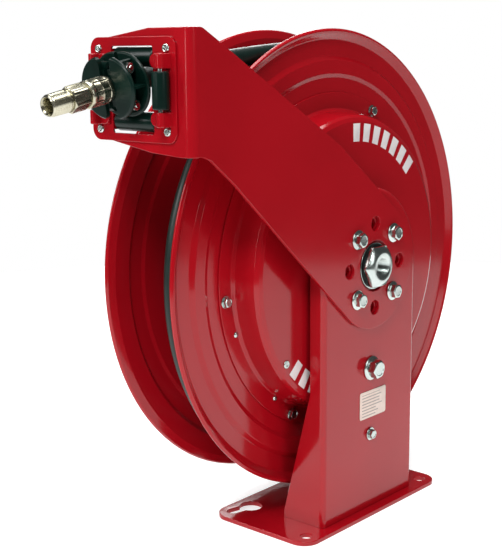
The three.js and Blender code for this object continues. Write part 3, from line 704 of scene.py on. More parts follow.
# ---------------------------------------------------------------- guide arm
def build_arm():
    K = 346.737  # developed length: front plate x = u + K
    side = [(-276, 257.4), (-272, 257.0), (-236, 236.9), (-194.1, 212.4), (-149.1, 186.4), (-101, 158.6), (-66, 138.2)]
    top = [(y, z + AXIS_Z) for y, z in side]
    round_end = [(y, z + AXIS_Z) for y, z in arc(0, 0, 71.2, 52.4, -131.7, 60)]
    low = [(y, z + AXIS_Z) for y, z in [(-212, 94.5), (-231.2, 111.8), (-254.4, 129.8), (-263, 136.6), (-272, 139.9), (-276, 140.4)]]
    # the straight run between the round end and the outlet is softened where the edge turns
    low = fillet([round_end[-1]] + low, {1: 60.0}, closed=False, n=10)[1:]
    top = fillet(top, {1: 10.0}, closed=False, n=6)
    front_low = [(x - K, z) for x, z in [(46, 430.9), (9, 433.6)]]
    front_tl = [(x - K, z) for x, z in arc(-57.5, 457.8, 12.5, 262, 180, 12)]
    front_tr = [(x - K, z) for x, z in arc(-57.5, 526, 12.5, 180, 100, 12)]
    front_top = [(x - K, z) for x, z in [(9, 547.9), (46, 547.9)]]
    outline = round_end + low + front_low + front_tl + front_tr + front_top + top
    loops = [outline]
    loops.append([(x - K, z) for x, z in round_rect(OUT_X - 33.5, OUT_X + 33.5, OUT_Z - 43.5, OUT_Z + 43.5, 3, 5)])
    loops.append(circle(0, AXIS_Z, 28.5, 64))
    for k in range(8):
        loops.append(circle(PCD_R * cos(pi / 4 * k), AXIS_Z + PCD_R * sin(pi / 4 * k), 8.3, 40))
    for sx in (-1, 1):
        for sz in (-1, 1):
            loops.append(circle(OUT_X + sx * 45.7 - K, OUT_Z + sz * 37.7, 3.1, 24))
    me = plate("arm", loops, STEEL, 0.55, 2)
    u0 = ARM_Y + 9.0            # bend starts here on the side plate
    arc_len = 9.0 * pi / 2
    bisect(me, 0, [u0 - arc_len * i / 12 for i in range(13)])
    xc, yc = ARM_X - 9.0, ARM_Y + 9.0

    def bend(u, z, c):
        d = STEEL / 2 - c
        if u >= u0:
            return (ARM_X - d, u, z)
        if u <= u0 - arc_len:
            return (u + K, ARM_Y + d, z)
        th = (u0 - u) / 9.0
        r = 9.0 - d
        return (xc + r * cos(th), yc - r * sin(th), z)
    warp(me, bend)
    return piece("guide_arm_sheet", me, RED, "frame", ["guide_arm"], smooth=30, weighted=True)


# ---------------------------------------------------------------- outlet
def build_outlet():
    cx = OUT_X
    loops = [round_rect(cx - 57.5, cx + 57.5, OUT_Z - 48.5, OUT_Z + 48.5, 11, 10)]
    # window: a plain rounded rectangle; the ears beside the horizontal rollers and the tongues that reach in beside the
    # vertical rollers are joined on below
    win = round_rect(cx - 28, cx + 28, OUT_Z - 41, OUT_Z + 40, 2.5, 4)
    loops.append(win)
    for sx in (-1, 1):
        for sz in (-1, 1):
            loops.append(circle(cx + sx * 45.7, OUT_Z + sz * 37.7, 3.1, 24))
    me = plate("outlet_plate", loops, 2.0, 0.4, 2)
    ym = (FRAME_Y0 + FRAME_Y1) / 2
    warp(me, lambda x, y, z: (x, ym - z, y))
    me = clean_for_boolean(me)
    parts = []
    for nm, sx, bx, by, rr, kr, tip, root in SIDES:
        for sz in (-1, 1):
            # ear that carries the horizontal roller's pin: rounded tab turned back through the window
            prof = fillet([(FRAME_Y0 + 0.7, OUT_Z + sz * 22), (HY + 4.9, OUT_Z + sz * 22), (HY + 4.9, OUT_Z + sz * 38), (FRAME_Y0 + 0.7, OUT_Z + sz * 38)], {1: 5.0, 2: 5.0}, n=6)
            e = plate("ear", [prof], 2.0, 0.3, 2)
            xm = cx + sx * 29.0
            warp(e, lambda x, y, z, xm=xm: (xm + z, x, y))
            parts.append(clean_for_boolean(e))
            # half-round knuckle over the vertical roller's pin end
            lo, hi = sorted((OUT_Z + sz * 19.4, OUT_Z + sz * 33.4))
            mid, hr = (lo + hi) / 2, 6.8
            out = [(bx - kr - 0.9, FRAME_Y0 + 0.7), (bx - kr - 0.3, FRAME_Y0 - 2.5)] + arc(bx, by, kr, 180, 360, 20) + [(bx + kr + 0.3, FRAME_Y0 - 2.5), (bx + kr + 0.9, FRAME_Y0 + 0.7)]
            b = plate("bulge", [out], hi - lo, 1.2, 4)
            warp(b, lambda x, y, z, mid=mid: (x, y, mid + z))
            parts.append(clean_for_boolean(b))
            # strap with a round end that reaches in front of the horizontal roller
            if sx > 0:
                st = [(root, mid - hr), (root, mid + hr)] + arc(tip + hr, mid, hr, 90, 270, 16)
            else:
                st = [(root, mid + hr), (root, mid - hr)] + arc(tip - hr, mid, hr, -90, 90, 16)
            q = plate("strap", [st], 1.8, 0.7, 3)
            warp(q, lambda x, y, z: (x, FRAME_Y0 - 1.9 - z, y))
            parts.append(clean_for_boolean(q))
            xi = cx + sx * 31.5
            parts.append(clean_for_boolean(box_mesh("root", min(xi, root), max(xi, root), FRAME_Y0 - 1.95, FRAME_Y0 + 0.6, mid - hr + 0.6, mid + hr - 0.6)))
    for p in parts:
        me = boolean(me, p, "UNION")
    for nm, sx, bx, by, rr, kr, tip, root in SIDES:
        c = rings("c", [(0, -34.4), (2.9, -34.4), (2.9, 34.4), (0, 34.4)], (bx, by, OUT_Z), (0, 0, 1), 24, closed=False)
        me = boolean(me, clean_for_boolean(c), "DIFFERENCE")
    for sz in (-1, 1):
        c = rings("c", [(0, -40), (2.9, -40), (2.9, 40), (0, 40)], (cx, HY, OUT_Z + sz * HZ), (1, 0, 0), 24, closed=False)
        me = boolean(me, clean_for_boolean(c), "DIFFERENCE")
    piece("outlet_plate", me, RED, "frame", ["roller_frame"], smooth=35, weighted=True)
    n = 0
    for sx in (-1, 1):
        for sz in (-1, 1):
            n += 1
            # semi-tubular rivet: rolled ring with a hollow centre, and its head behind
            prof = fillet([(0, -1.0), (1.7, -0.9), (2.3, 1.5), (3.4, 1.7), (4.3, 0.0), (2.6, 0), (2.6, -7.3), (3.8, -7.3), (3.4, -8.8), (0, -8.8)],
                          {1: 0.5, 2: 0.5, 3: 0.9, 4: 0.2, 8: 0.5}, closed=False, n=4)
            r = rings("rivet", prof, (cx + sx * 45.7, FRAME_Y0 - 0.3, OUT_Z + sz * 37.7), (0, -1, 0), 40, closed=False)
            piece(f"outlet_rivet_{n}_head", r, ZINC, "frame", [f"outlet_rivet_{n}"])
    for nm, sz in (("top", 1), ("bottom", -1)):
        w = WIDE_R
        prof = [(2.95, -26.9), (w - 1.4, -26.9), (w - 0.6, -26.4), (w, -25.6), (w, 25.6), (w - 0.6, 26.4), (w - 1.4, 26.9), (2.95, 26.9)]
        r = rings("r", fillet(prof, 0.4, n=3), (cx, HY, OUT_Z + sz * HZ), (1, 0, 0), 56)
        piece(f"roller_{nm}_sleeve", r, PLASTIC, f"{nm}_roller", [f"roller_{nm}"])
        p = rings("p", fillet([(0, -31.2), (2.5, -31.2), (2.5, 31.2), (0, 31.2)], {1: 0.5, 2: 0.5}, closed=False, n=4), (cx, HY, OUT_Z + sz * HZ), (1, 0, 0), 32, closed=False)
        piece(f"roller_pin_{nm}_rod", p, ZINC, "frame", [f"roller_pin_{nm}"])
    for nm, sx, bx, by, w, kr, tip, root in SIDES:
        prof = [(2.95, -17.2), (w - 1.4, -17.2), (w - 0.6, -16.7), (w, -15.9), (w, 15.9), (w - 0.6, 16.7), (w - 1.4, 17.2), (2.95, 17.2)]
        r = rings("r", fillet(prof, 0.4, n=3), (bx, by, OUT_Z), (0, 0, 1), 56)
        piece(f"roller_{nm}_sleeve", r, PLASTIC, f"{nm}_roller", [f"roller_{nm}"])
        p = rings("p", fillet([(0, -32), (2.5, -32), (2.5, 32), (0, 32)], {1: 0.5, 2: 0.5}, closed=False, n=4), (bx, by, OUT_Z), (0, 0, 1), 32, closed=False)
        piece(f"roller_pin_{nm}_rod", p, ZINC, "frame", [f"roller_pin_{nm}"])


# ---------------------------------------------------------------- shaft and hardware
def build_shaft():
    o = (0, 0, AXIS_Z)
    R = hex_r(44.5, 0)
    seg = 96
    pitch, depth = 1.814, 1.1

    def thread(x, r0, ph=0.0):
        return lambda a: r0 + depth * (abs((((x / pitch) - a / (2 * pi) + ph) % 1.0) - 0.5) * 2 - 0.5)
    prof = [(0, -106), (15.6, -106), (16.6, -105.6), (17, -104.8), (17, 64.0), (19.8, 64.2), (19.8, 64.3)]
    prof += [(lambda a: min(R(a), 24.4), 64.35), (R, 65.0)]
    t = tan(radians(33))
    prof += [(R, lambda a: 73.4 - max(0.0, (R(a) - 17.2)) * t - 0.2), (lambda a: R(a) - 0.3, lambda a: 73.4 - max(0.0, (R(a) - 17.5)) * t)]
    prof += [(17.0, 73.3), (16.4, 73.4), (12.0, 73.4), (10.9, 72.6)]
    x = 72.4
    while x > 50:
        r0 = 10.2 - (72.4 - x) * 0.03
        prof.append((thread(x, r0), x))
        x -= pitch / 6
    prof += [(9.2, 49.4), (8.2, 44), (8.2, -30), (0, -30)]
    me = rings("shaft", prof, o, (1, 0, 0), seg, closed=False, basis=(Y_AX, Z_AX, X_AX))
    piece("main_shaft_turned", me, ZINC, "frame", ["main_shaft"], smooth=40)
    me = rings("g", fillet([(17.4, 61.9), (24.6, 61.9), (24.6, 63.8), (17.4, 63.8)], 0.5, n=4), o, (1, 0, 0), 72)
    piece("shaft_gasket_ring", me, SEAL, "frame", ["shaft_gasket"])
    me = rings("w", fillet([(17.4, 58.3), (26.2, 58.3), (26.2, 61.6), (17.4, 61.6)], 0.5, n=4), o, (1, 0, 0), 72)
    piece("shaft_washer_ring", me, ZINC, "frame", ["shaft_washer"])
    # nut on the left end, chamfered on both faces
    R2 = hex_r(46, 0)
    tc = tan(radians(28))
    prof = [(17.5, -103.8), (21.4, -103.8), (lambda a: R2(a), lambda a: -103.8 + max(0, R2(a) - 21.9) * tc), (R2, lambda a: -98.4 - max(0, R2(a) - 21.9) * tc), (21.4, -98.4), (17.5, -98.4)]
    me = rings("n", prof, o, (1, 0, 0), 72, basis=(Y_AX, Z_AX, X_AX))
    piece("shaft_end_nut_hex", me, ZINC, "frame", ["shaft_end_nut"])
    # four flange bolts
    n = 0
    for sy, sz in ((-1, 1), (1, 1), (-1, -1), (1, -1)):
        n += 1
        y, z = sy * PCD_R * sqrt(0.5), AXIS_Z + sz * PCD_R * sqrt(0.5)
        x0 = ARM_X + 0.3
        prof = [(0, 46.4), (4.2, 46.4), (4.7, 47.0), (4.7, x0 - 0.02), (10.3, x0), (10.8, x0 + 0.35), (10.8, x0 + 1.1), (10.4, x0 + 1.45), (8.6, x0 + 2.1)]
        prof += hex_head(14.3, x0 + 2.5, x0 + 8.6, flat_r=6.5, dish=0.45, turn=12 * n + 7, cham=24)
        me = rings("b", prof, (0, y, z), (1, 0, 0), 72, closed=False, basis=(Y_AX, Z_AX, X_AX))
        piece(f"arm_bolt_{n}_flanged", me, ZINC, "frame", [f"arm_bolt_{n}"], smooth=30)
    x0 = WEB_X + 0.3
    prof = [(0, 34.1), (8.2, 34.1), (8.6, 34.4), (8.6, 34.9), (6.1, 34.9), (6.1, x0 - 0.02), (13.5, x0), (14, x0 + 0.4), (14, x0 + 1.4), (13.6, x0 + 1.9), (11.4, x0 + 2.9)]
    prof += hex_head(19, x0 + 3.4, x0 + 12.4, flat_r=8.6, dish=0.5, turn=8, cham=26)
    me = rings("b", prof, (0, 0, PAWL_Z), (1, 0, 0), 72, closed=False, basis=(Y_AX, Z_AX, X_AX))
    piece("pawl_bolt_flanged", me, ZINC, "frame", ["pawl_bolt"], smooth=30)
    prof = [(0, 39.5), (2.7, 39.5), (3.0, 39.8), (3.0, x0 - 0.02), (7.3, x0), (7.6, x0 + 0.3), (7.6, x0 + 0.9), (7.2, x0 + 1.2)]
    prof += hex_head(9.5, x0 + 1.25, x0 + 5.6, flat_r=4.3, dish=0.5, turn=0, cham=26)
    me = rings("b", prof, (0, 0, SCREW_Z), (1, 0, 0), 60, closed=False, basis=(Y_AX, Z_AX, X_AX))
    piece("spring_screw_hex", me, ZINC, "frame", ["spring_screw"], smooth=30)
    # label
    me = plate("label", [round_rect(-21, 29, 114, 146, 2.5, 6)], 0.5, 0.12, 1)
    warp(me, lambda x, y, z: (WEB_X + 0.3 + 0.25 + z, x, y))
    piece("rating_label_film", me, LABEL, "frame", ["rating_label"])
    # latch spring: coiled tension spring with hooks
    t0 = radians(-34)
    a = Vector((39.2, 11.5 * sin(t0), PAWL_Z - 11.5 * cos(t0)))
    b = Vector((39.2, 0, SCREW_Z + 3.2))
    ax = (b - a).normalized()
    ln = (b - a).length
    u = X_AX
    v = ax.cross(u).normalized()
    pts = [a, a + ax * 3]
    turns, body0, body1 = 17, 8.0, ln - 8.0
    for i in range(turns * 14 + 1):
        q = 2 * pi * i / 14
        f = i / (turns * 14)
        rr = 3.0 * min(1, min(f, 1 - f) * 30)
        pts.append(a + ax * (body0 + (body1 - body0) * f) + u * (rr * cos(q)) + v * (rr * sin(q)))
    pts += [b - ax * 3, b]
    me = tube("s", pts, 0.55, 8)
    ob = piece("pawl_spring_coil", me, STEEL_M, None, ["pawl_spring"])
    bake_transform(ob)


# ---------------------------------------------------------------- spool
FL = [(25.3, -14), (34, -14), (34, -2.1), (206, -2.1), (210, -0.4), (226, -0.4), (230.5, -4.4), (250, -4.4), (258.5, -1.6),
      (260, 1.2), (257.4, 4.2), (254.4, 2.6), (248, -2.8), (230, -2.8), (225.4, 1.2), (210.6, 1.2), (206, -0.5), (25.3, -0.5)]


def build_spool():
    o = (0, 0, AXIS_Z)
    rr = {1: 0.6, 2: 0.5, 3: 3.0, 4: 3.0, 5: 2.2, 6: 2.6, 7: 4.0, 8: 2.0, 9: 1.6, 10: 1.6, 11: 1.4, 12: 3.0, 13: 2.6, 14: 2.2, 15: 2.6, 16: 3.0, 17: 0.5, 0: 0.4}
    prof = fillet(FL, rr, n=6)
    me = rings("fr", prof, o, (1, 0, 0), 192, basis=(Y_AX, Z_AX, X_AX))
    piece("flange_right_pressed", me, RED, "spool", ["flange_right"], smooth=50, weighted=True)
    prof2 = [(r, mirror_x(x)) for r, x in prof]
    me = rings("fl", prof2, o, (1, 0, 0), 192, basis=(Y_AX, Z_AX, X_AX))
    piece("flange_left_pressed", me, RED, "spool", ["flange_left"], smooth=50, weighted=True)
    me = rings("dr", [(144.2, -91.4), (146.4, -91.4), (146.4, -2.4), (144.2, -2.4)], o, (1, 0, 0), 128)
    piece("drum_wall", me, RED, "spool", ["drum_core"])
    case = [(26.5, 31.4), (158, 31.4), (162.6, 26), (167.5, -0.2), (190, -0.2), (190, 1.4), (172.0, 1.4), (169.5, 4.8), (165.5, 27.5), (163, 31.6), (158.4, 33.4), (26.5, 33.4)]
    prof = fillet(case, {0: 0.4, 1: 2.0, 2: 2.0, 3: 1.5, 4: 0.5, 5: 0.5, 6: 2.4, 7: 2.4, 8: 3.0, 9: 2.6, 10: 2.6, 11: 0.5}, n=6)
    me = rings("case", prof, o, (1, 0, 0), 176, basis=(Y_AX, Z_AX, X_AX))
    piece("spring_case_cup", me, RED, "spool", ["spring_case"], smooth=50, weighted=True)
    for k in range(6):
        y, z = 182 * cos(radians(6 + 60 * k)), AXIS_Z + 182 * sin(radians(6 + 60 * k))
        prof = [(0, 1.7), (6.2, 1.7), (6.6, 2.0), (6.6, 2.5), (6.3, 2.8)]
        prof += hex_head(9.6, 2.82, 7.2, flat_r=4.4, dish=0.4, turn=17 * k, cham=26)
        me = rings("b", prof, (0, y, z), (1, 0, 0), 60, closed=False, basis=(Y_AX, Z_AX, X_AX))
        piece(f"case_bolt_{k + 1}_hex", me, ZINC, "spool", [f"case_bolt_{k + 1}"], smooth=30)
    # dome rivets on the case and flange
    for i, (r, deg, x, rad) in enumerate([(174.5, 199, 1.5, 3.4), (174.5, 234, 1.5, 3.0)]):
        y, z = r * cos(radians(deg)), AXIS_Z + r * sin(radians(deg))
        prof = [(0, x + 1.9), (1.4, x + 1.75), (2.4, x + 1.3), (rad, x + 0.3), (rad, x), (0, x)]
        me = rings("d", prof, (0, y, z), (1, 0, 0), 32, closed=False, basis=(Y_AX, Z_AX, X_AX))
        piece(f"case_dome_rivet_{i + 1}", me, ZINC, "spool")
    # screw plug in the case face
    y, z = 152.5 * cos(radians(217.6)), AXIS_Z + 152.5 * sin(radians(217.6))
    me = rings("pl", fillet([(0, 33.46), (4.6, 33.46), (4.6, 34.3), (3.9, 34.9), (2.0, 34.9), (1.5, 34.3), (0, 34.3)], {1: 0.2, 2: 0.5, 3: 0.4, 4: 0.3, 5: 0.3}, closed=False, n=3), (0, y, z), (1, 0, 0), 40, closed=False, basis=(Y_AX, Z_AX, X_AX))
    piece("case_face_plug", me, ZINC, "spool")
    # plain stripes: two groups of short bars on the case face, opposite each other
    for g, base in enumerate((41.0, 221.0)):
        parts = []
        nbar = 7
        span = 52.0
        wbar = 4.6
        for k in range(nbar):
            c = base + span * (k + 0.5) / nbar
            a0, a1 = c - wbar / 2, c + wbar / 2
            out = arc(0, 0, 156.4, a0, a1, 8) + arc(0, 0, 136.4, a1, a0, 8)
            p = plate("bar", [out], 0.16, 0.03, 1)
            warp(p, lambda x, y, z: (33.44 + 0.08 + z, x, y + AXIS_Z))
            parts.append(p)
        me = merge("stripes", *parts)
        piece(f"case_stripes_{g + 1}", me, INK, "spool")


def build_winding():
    """Thirteen turns: twelve follow each other along one path, the last one is the full outer ring."""
    R = [156.8, 177.1, 197.4, 217.7, 238.0]
    C = [-77.2, -56.8, -36.6, -16.2]
    seq = [(0, 0), (1, 0), (2, 0), (3, 0), (3, 1), (2, 1), (1, 1), (1, 2), (2, 2), (3, 2), (3, 3), (2, 3)]
    pts = []
    per = 72
    shift = radians(42)
    start = radians(200)

    def ease(t):
        return t * t * (3 - 2 * t)
    for i, (c, r) in enumerate(seq):
        x0, r0 = C[c], R[r]
        x1, r1 = (C[seq[i + 1][0]], R[seq[i + 1][1]]) if i + 1 < len(seq) else (x0, r0)
        for k in range(per):
            a = 2 * pi * k / per
            t = max(0.0, (a - (2 * pi - shift)) / shift)
            e = ease(t)
            aa = start + a
            pts.append((x0 + (x1 - x0) * e, (r0 + (r1 - r0) * e) * cos(aa), AXIS_Z + (r0 + (r1 - r0) * e) * sin(aa)))
    me = tube("w", pts, HOSE_R, 20)
    ring = [(C[3], WIND_R * cos(2 * pi * i / 144), AXIS_Z + WIND_R * sin(2 * pi * i / 144)) for i in range(144)]
    me2 = tube("w2", ring, HOSE_R, 24, closed=True)
    me = merge("winding", me, me2)
    piece("hose_winding", me, HOSE, "spool", ["wound_hose"], smooth=60)


def build_hose_lead():
    """Free stretch: off the winding, over the rollers in a shallow curve, straight into the ferrule."""
    pts, rad = [], []
    for i in range(6):
        a = TAN_A - radians(5) + radians(5) * i / 6
        pts.append(Vector((HOSE_X, WIND_R * cos(a), AXIS_Z + WIND_R * sin(a))))
        rad.append(9.8)
    d0 = Vector((0, -cos(LEAVE), -sin(LEAVE)))
    ln = (STOP_O - TAN_P).length
    n = 56
    for i in range(n):
        t = i / n
        t2, t3 = t * t, t * t * t
        pts.append(TAN_P * (2 * t3 - 3 * t2 + 1) + d0 * (ln * (t3 - 2 * t2 + t)) + STOP_O * (-2 * t3 + 3 * t2) + HOSE_DIR * (ln * (t3 - t2)))
        rad.append(9.8 + 0.2 * min(1, i / 4))
    for i in range(13):
        pts.append(STOP_O + HOSE_DIR * (46.2 * i / 12))
        rad.append(10.0)
    me = tube("lead", pts, rad, 28)
    ob = piece("hose_lead_tube", me, HOSE, None, ["hose_lead"], smooth=60)
    a = TAN_P + d0 * 8
    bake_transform(ob)


# ---------------------------------------------------------------- hose stop and fitting
def local_s(me):
    """Local x, s (along the hose), up -> row frame."""
    m = Matrix(((1, 0, 0, STOP_O.x), (0, HOSE_DIR.y, HOSE_UP.y, STOP_O.y), (0, HOSE_DIR.z, HOSE_UP.z, STOP_O.z), (0, 0, 0, 1)))
    return warp(me, lambda x, s, u: (m @ Vector((x, s, u))))


def build_stop():
    S1, OFF = 22.8, 6.0
    for nm, sx in (("left", -1), ("right", 1)):
        rear = [(0, 0), (28.8, 0), (30.4, 1.6), (30.4, 3.2), (29.4, 4.4), (0, 4.4)]
        front = [(0, 18.4), (28.3, 18.4), (29.3, 19.6), (29.3, S1 - 1.8), (27.7, S1), (0, S1)]
        bd = (X_AX, -Z_AX, Y_AX)
        body = clean_for_boolean(rings("d", fillet(rear, {1: 1.4, 2: 1.2, 3: 0.8, 4: 0.8}, closed=False, n=4), (sx * OFF, 0, 0), (0, 1, 0), 96, closed=False, basis=bd))
        fr = clean_for_boolean(rings("d", fillet(front, {1: 0.8, 2: 0.8, 3: 1.4, 4: 1.4}, closed=False, n=4), (sx * OFF, 0, 0), (0, 1, 0), 96, closed=False, basis=bd))
        # the front disc's inner edge stands back from the hose, and its corners are rounded
        back, corner = (9.3, 5.0) if sx > 0 else (5.6, 7.0)
        half_h = sqrt(29.35 ** 2 - (back - OFF) ** 2)
        cut2d = fillet([(back, -half_h + 0.3), (40, -half_h + 0.3), (40, half_h - 0.3), (back, half_h - 0.3)], {0: corner, 3: corner}, n=8)
        k2 = plate("k", [[(sx * x, z) for x, z in cut2d]], 12.0, 0.02, 1)
        warp(k2, lambda x, y, z: (x, 20.6 - z, y))
        fr = boolean(fr, clean_for_boolean(k2), "INTERSECT")
        body = merge("discs", body, clean_for_boolean(fr))
        adds = [clean_for_boolean(rings("core", [(0, 2.5), (17.5, 2.5), (17.5, 20.2), (0, 20.2)], (0, 0, 0), (0, 1, 0), 72, closed=False, basis=bd))]
        for sz in (-1, 1):
            c = rings("c", fillet([(0, 2.6), (6.4, 2.6), (6.4, 20), (0, 20)], {2: 0.7}, closed=False, n=3), (0, 11.4, sz * 17), (sx, 0, 0), 32, closed=False)
            adds.append(clean_for_boolean(c))
        adds.append(clean_for_boolean(box_mesh("r", min(sx * 19.0, sx * 33.4), max(sx * 19.0, sx * 33.4), 3.8, 19.0, -1.2, 1.2)))
        for a in (62, -62):
            bx = box_mesh("r", 15.4, 27.6, 3.8, 19.0, -1.1, 1.1)
            bx.transform(Matrix.Rotation(radians(a), 4, "Y"))
            if sx < 0:
                bx.transform(Matrix.Rotation(pi, 4, "Z") @ Matrix.Translation((0, -22.8 * MM, 0)))
            bx.transform(Matrix.Translation((sx * OFF * MM, 0, 0)))
            adds.append(clean_for_boolean(bx))
        for m in adds:
            body = boolean(body, m, "UNION")
        keep = box_mesh("k", min(sx * 2.5, sx * 60), max(sx * 2.5, sx * 60), -30, 60, -60, 60)
        body = boolean(body, clean_for_boolean(keep), "INTERSECT")
        bore = rings("b", [(0, -5), (10.4, -5), (10.4, 40), (0, 40)], (0, 0, 0), (0, 1, 0), 64, closed=False)
        body = boolean(body, clean_for_boolean(bore), "DIFFERENCE")
        for sz in (-1, 1):
            c = rings("c", [(0, -60), (3.0, -60), (3.0, 60), (0, 60)], (0, 11.4, sz * 17), (1, 0, 0), 24, closed=False)
            body = boolean(body, clean_for_boolean(c), "DIFFERENCE")
        local_s(body)
        piece(f"stop_half_{nm}_moulding", body, PLASTIC, "hose_end", [f"stop_half_{nm}"], smooth=35, weighted=True)
    for n, sz in ((1, 1), (2, -1)):
        prof = fillet([(0, -24.5), (3.4, -24.5), (4.6, -23.2), (4.6, -20.4), (2.45, -20.4), (2.45, 25.6), (2.1, 26), (0, 26)], {1: 0.5, 2: 0.8}, closed=False, n=3)
        me = rings("b", prof, (0, 11.4, sz * 17), (1, 0, 0), 32, closed=False)
        piece(f"stop_bolt_{n}_pan", local_s(me), ZINC, "hose_end", [f"stop_bolt_{n}"])
        R = hex_r(9.5, 20)
        tc = tan(radians(28))
        prof = [(2.85, 20.4), (4.4, 20.4), (R, lambda a: 20.4 + max(0, R(a) - 4.5) * tc), (R, lambda a: 24.8 - max(0, R(a) - 4.5) * tc), (4.4, 24.8), (2.85, 24.8)]
        me = rings("n", prof, (0, 11.4, sz * 17), (1, 0, 0), 60)
        piece(f"stop_nut_{n}_hex", local_s(me), ZINC, "hose_end", [f"stop_nut_{n}"])


def build_fitting():
    # crimped ferrule: eight pressed flats in its middle, smooth collars at both ends
    def crimp(r, depth):
        def f(a):
            q = abs(((degrees(a) + 11) % 45.0) - 22.5) / 22.5      # 1 at a ridge, 0 in the middle of a flat
            return r - depth * (1.0 - max(0.0, (q - 0.86) / 0.14))
        return f
    prof = [(10.4, 23.2), (11.6, 23.2), (12.2, 23.5), (12.5, 24.2), (12.6, 26.0)]
    prof += [(crimp(12.9, 0.25), 27.4), (crimp(12.9, 0.62), 28.2), (crimp(12.9, 0.62), 35.6), (crimp(12.9, 0.45), 36.1), (crimp(12.9, 0.62), 36.6), (crimp(12.9, 0.62), 43.4), (crimp(12.9, 0.25), 44.2)]
    prof += [(12.75, 45.2), (12.9, 46.0), (12.9, 48.4), (12.6, 49.3), (11.9, 50.0), (11.2, 50.2), (7.2, 50.2), (7.2, 46.6), (10.4, 46.6)]
    me = rings("fer", prof, (0, 0, 0), (0, 1, 0), 160, basis=(X_AX, -Z_AX, Y_AX))
    piece("ferrule_crimped", local_s(me), OLIVE, "hose_end", ["ferrule"], smooth=24)
    # nipple: round neck, hexagon, tapered pipe thread
    R = hex_r(22.2, 25)
    pitch, depth = 1.814, 1.05
    prof = [(6.6, 50.6), (10.4, 50.6), (10.9, 51.0), (lambda a: min(R(a), 11.3), 51.6), (lambda a: min(R(a), 11.6), lambda a: 52.0), (R, lambda a: 52.0 + max(0, R(a) - 11.3) * 0.6)]
    prof += [(R, lambda a: 69.6 - max(0, R(a) - 11.3) * 0.6), (lambda a: min(R(a), 11.4), 69.7), (10.9, 70.1), (9.5, 70.1), (9.4, 72.2)]
    x = 72.4
    while x < 92.0:
        r0 = 10.15 - (x - 72.4) * 0.02
        fade = min(1.0, (x - 72.4) / 1.6, (92.4 - x) / 1.2)
        prof.append(((lambda a, x=x, r0=r0, fade=fade: r0 + 0.5 * depth * fade * (1 - 2 * abs((((x / pitch) - a / (2 * pi)) % 1.0) - 0.5) * 2)), x))
        x += pitch / 7
    prof += [(9.5, 92.6), (9.2, 93.3), (8.9, 93.8), (8.4, 93.8), (8.0, 93.5), (6.6, 90.5)]
    me = rings("nip", prof, (0, 0, 0), (0, 1, 0), 96, basis=(X_AX, -Z_AX, Y_AX))
    piece("end_nipple_threaded", local_s(me), OLIVE, "hose_end", ["end_nipple"], smooth=32)


# ---------------------------------------------------------------- CAD nodes that stay: finish and edges
def dress_cad():
    keep = {
        "hub_plate": (RED, 0.4), "shaft_locknut": (ZINC, 0.4), "spring_arbor": (STEEL_M, 0.3), "pawl_sleeve": (ZINC, 0.2),
        "ratchet_wheel": (STEEL_M, 0.3), "pawl": (STEEL_M, 0.3), "bearing_right": (STEEL_M, 0.3), "bearing_left": (STEEL_M, 0.3),
        "swivel_body": (STEEL_M, 0.3), "hose_riser": (STEEL_M, 0.0), "power_spring": (STEEL_M, 0.0),
    }
    for name, (mat, bev) in keep.items():
        ob = NODES[name]
        ob.data.materials.clear()
        ob.data.materials.append(mat)
        w = ob.modifiers.new("weld", "WELD")
        w.merge_threshold = 1e-6
        if bev:
            b = ob.modifiers.new("edge", "BEVEL")
            b.width = bev * MM
            b.segments = 2
            b.limit_method = "ANGLE"
            b.angle_limit = radians(40)


build_base()
build_pedestal()
build_arm()
build_outlet()
build_shaft()
build_spool()
build_winding()
build_hose_lead()
build_stop()
build_fitting()
dress_cad()

# ---------------------------------------------------------------- stage, light, camera
disc = [(1600 * cos(2 * pi * i / 96), 1600 * sin(2 * pi * i / 96), 0) for i in range(96)]
floor_me = mesh_from("studio_floor", disc, [tuple(range(96))])
floor = bpy.data.objects.new("studio_floor", floor_me)
SC.collection.objects.link(floor)
fm = NT("floor_pale")
fv = fm.coords()
fm.l(fm.ramp(fm.noise(fv, 1.5), [(0.3, (0.62, 0.62, 0.62)), (0.7, (0.64, 0.64, 0.64))]), fm.b.inputs["Base Color"])
fm.b.inputs["Roughness"].default_value = 0.8
fm.b.inputs["Emission Color"].default_value = (1, 1, 1, 1)
fm.b.inputs["Emission Strength"].default_value = 0.62
floor_me.materials.append(fm.mat)

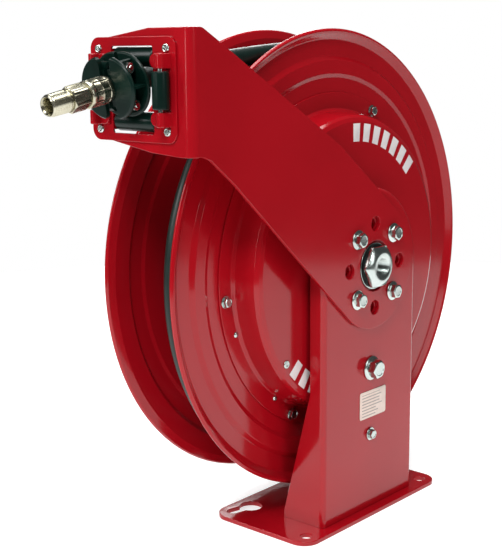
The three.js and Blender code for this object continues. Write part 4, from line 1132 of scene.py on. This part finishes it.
world = bpy.data.worlds.new("studio")
SC.world = world
world.use_nodes = True
wn = world.node_tree
wn.nodes.clear()
wo = wn.nodes.new("ShaderNodeOutputWorld")
mixw = wn.nodes.new("ShaderNodeMixShader")
lp = wn.nodes.new("ShaderNodeLightPath")
bg_cam = wn.nodes.new("ShaderNodeBackground")
bg_env = wn.nodes.new("ShaderNodeBackground")
bg_cam.inputs[0].default_value = (1, 1, 1, 1)
bg_cam.inputs[1].default_value = 1.0
bg_env.inputs[0].default_value = (1, 1, 1, 1)
bg_env.inputs[1].default_value = 0.07
wn.links.new(lp.outputs["Is Camera Ray"], mixw.inputs[0])
wn.links.new(bg_env.outputs[0], mixw.inputs[1])
wn.links.new(bg_cam.outputs[0], mixw.inputs[2])
wn.links.new(mixw.outputs[0], wo.inputs[0])


def area(name, loc, target, size, power, size_y=None, color=(1, 1, 1)):
    l = bpy.data.lights.new(name, "AREA")
    l.shape = "RECTANGLE"
    l.size = size
    l.size_y = size_y or size
    l.energy = power
    l.color = color
    o = bpy.data.objects.new(name, l)
    SC.collection.objects.link(o)
    o.location = loc
    o.rotation_mode = "QUATERNION"
    o.rotation_quaternion = (Vector(target) - Vector(loc)).to_track_quat("-Z", "Y")
    return o


area("key_left", (-1.9, -2.3, 1.75), (0, -0.1, 0.35), 1.0, 42, size_y=1.3)
area("key_front", (1.0, -1.9, 2.4), (0, -0.1, 0.3), 0.8, 50)
area("strip_front", (-0.45, -2.7, 1.2), (0, -0.2, 0.35), 0.22, 9, size_y=1.8)
area("top", (-0.1, 0.1, 2.5), (0, 0, 0.2), 1.5, 50)
area("fill_right", (2.5, -0.3, 1.3), (0, 0, 0.3), 0.9, 9, size_y=1.4)
area("back_left", (-1.6, 1.6, 1.5), (0, 0, 0.3), 0.9, 20)

SC.view_settings.view_transform = "Standard"
SC.view_settings.look = "None"
SC.view_settings.exposure = 0.0
SC.view_settings.gamma = 1.0

cam_d = bpy.data.cameras.new("photo_camera")
cam = bpy.data.objects.new("photo_camera", cam_d)
SC.collection.objects.link(cam)
ca, ce, cr = radians(41.4337), radians(11.2942), radians(-0.4735)
back = Vector((sin(ca) * cos(ce), -cos(ca) * cos(ce), sin(ce)))
right = Vector((cos(ca), sin(ca), 0))
up = back.cross(right)
r_ = right * cos(cr) + up * sin(cr)
u_ = -right * sin(cr) + up * cos(cr)
cam.matrix_world = Matrix(((r_.x, u_.x, back.x, 0.7861), (r_.y, u_.y, back.y, -1.0294), (r_.z, u_.z, back.z, 0.5259), (0, 0, 0, 1)))
cam_d.lens = 73.59
cam_d.sensor_width = 36.0
cam_d.sensor_fit = "AUTO"
cam_d.clip_start = 0.05
cam_d.clip_end = 100.0
SC.camera = cam
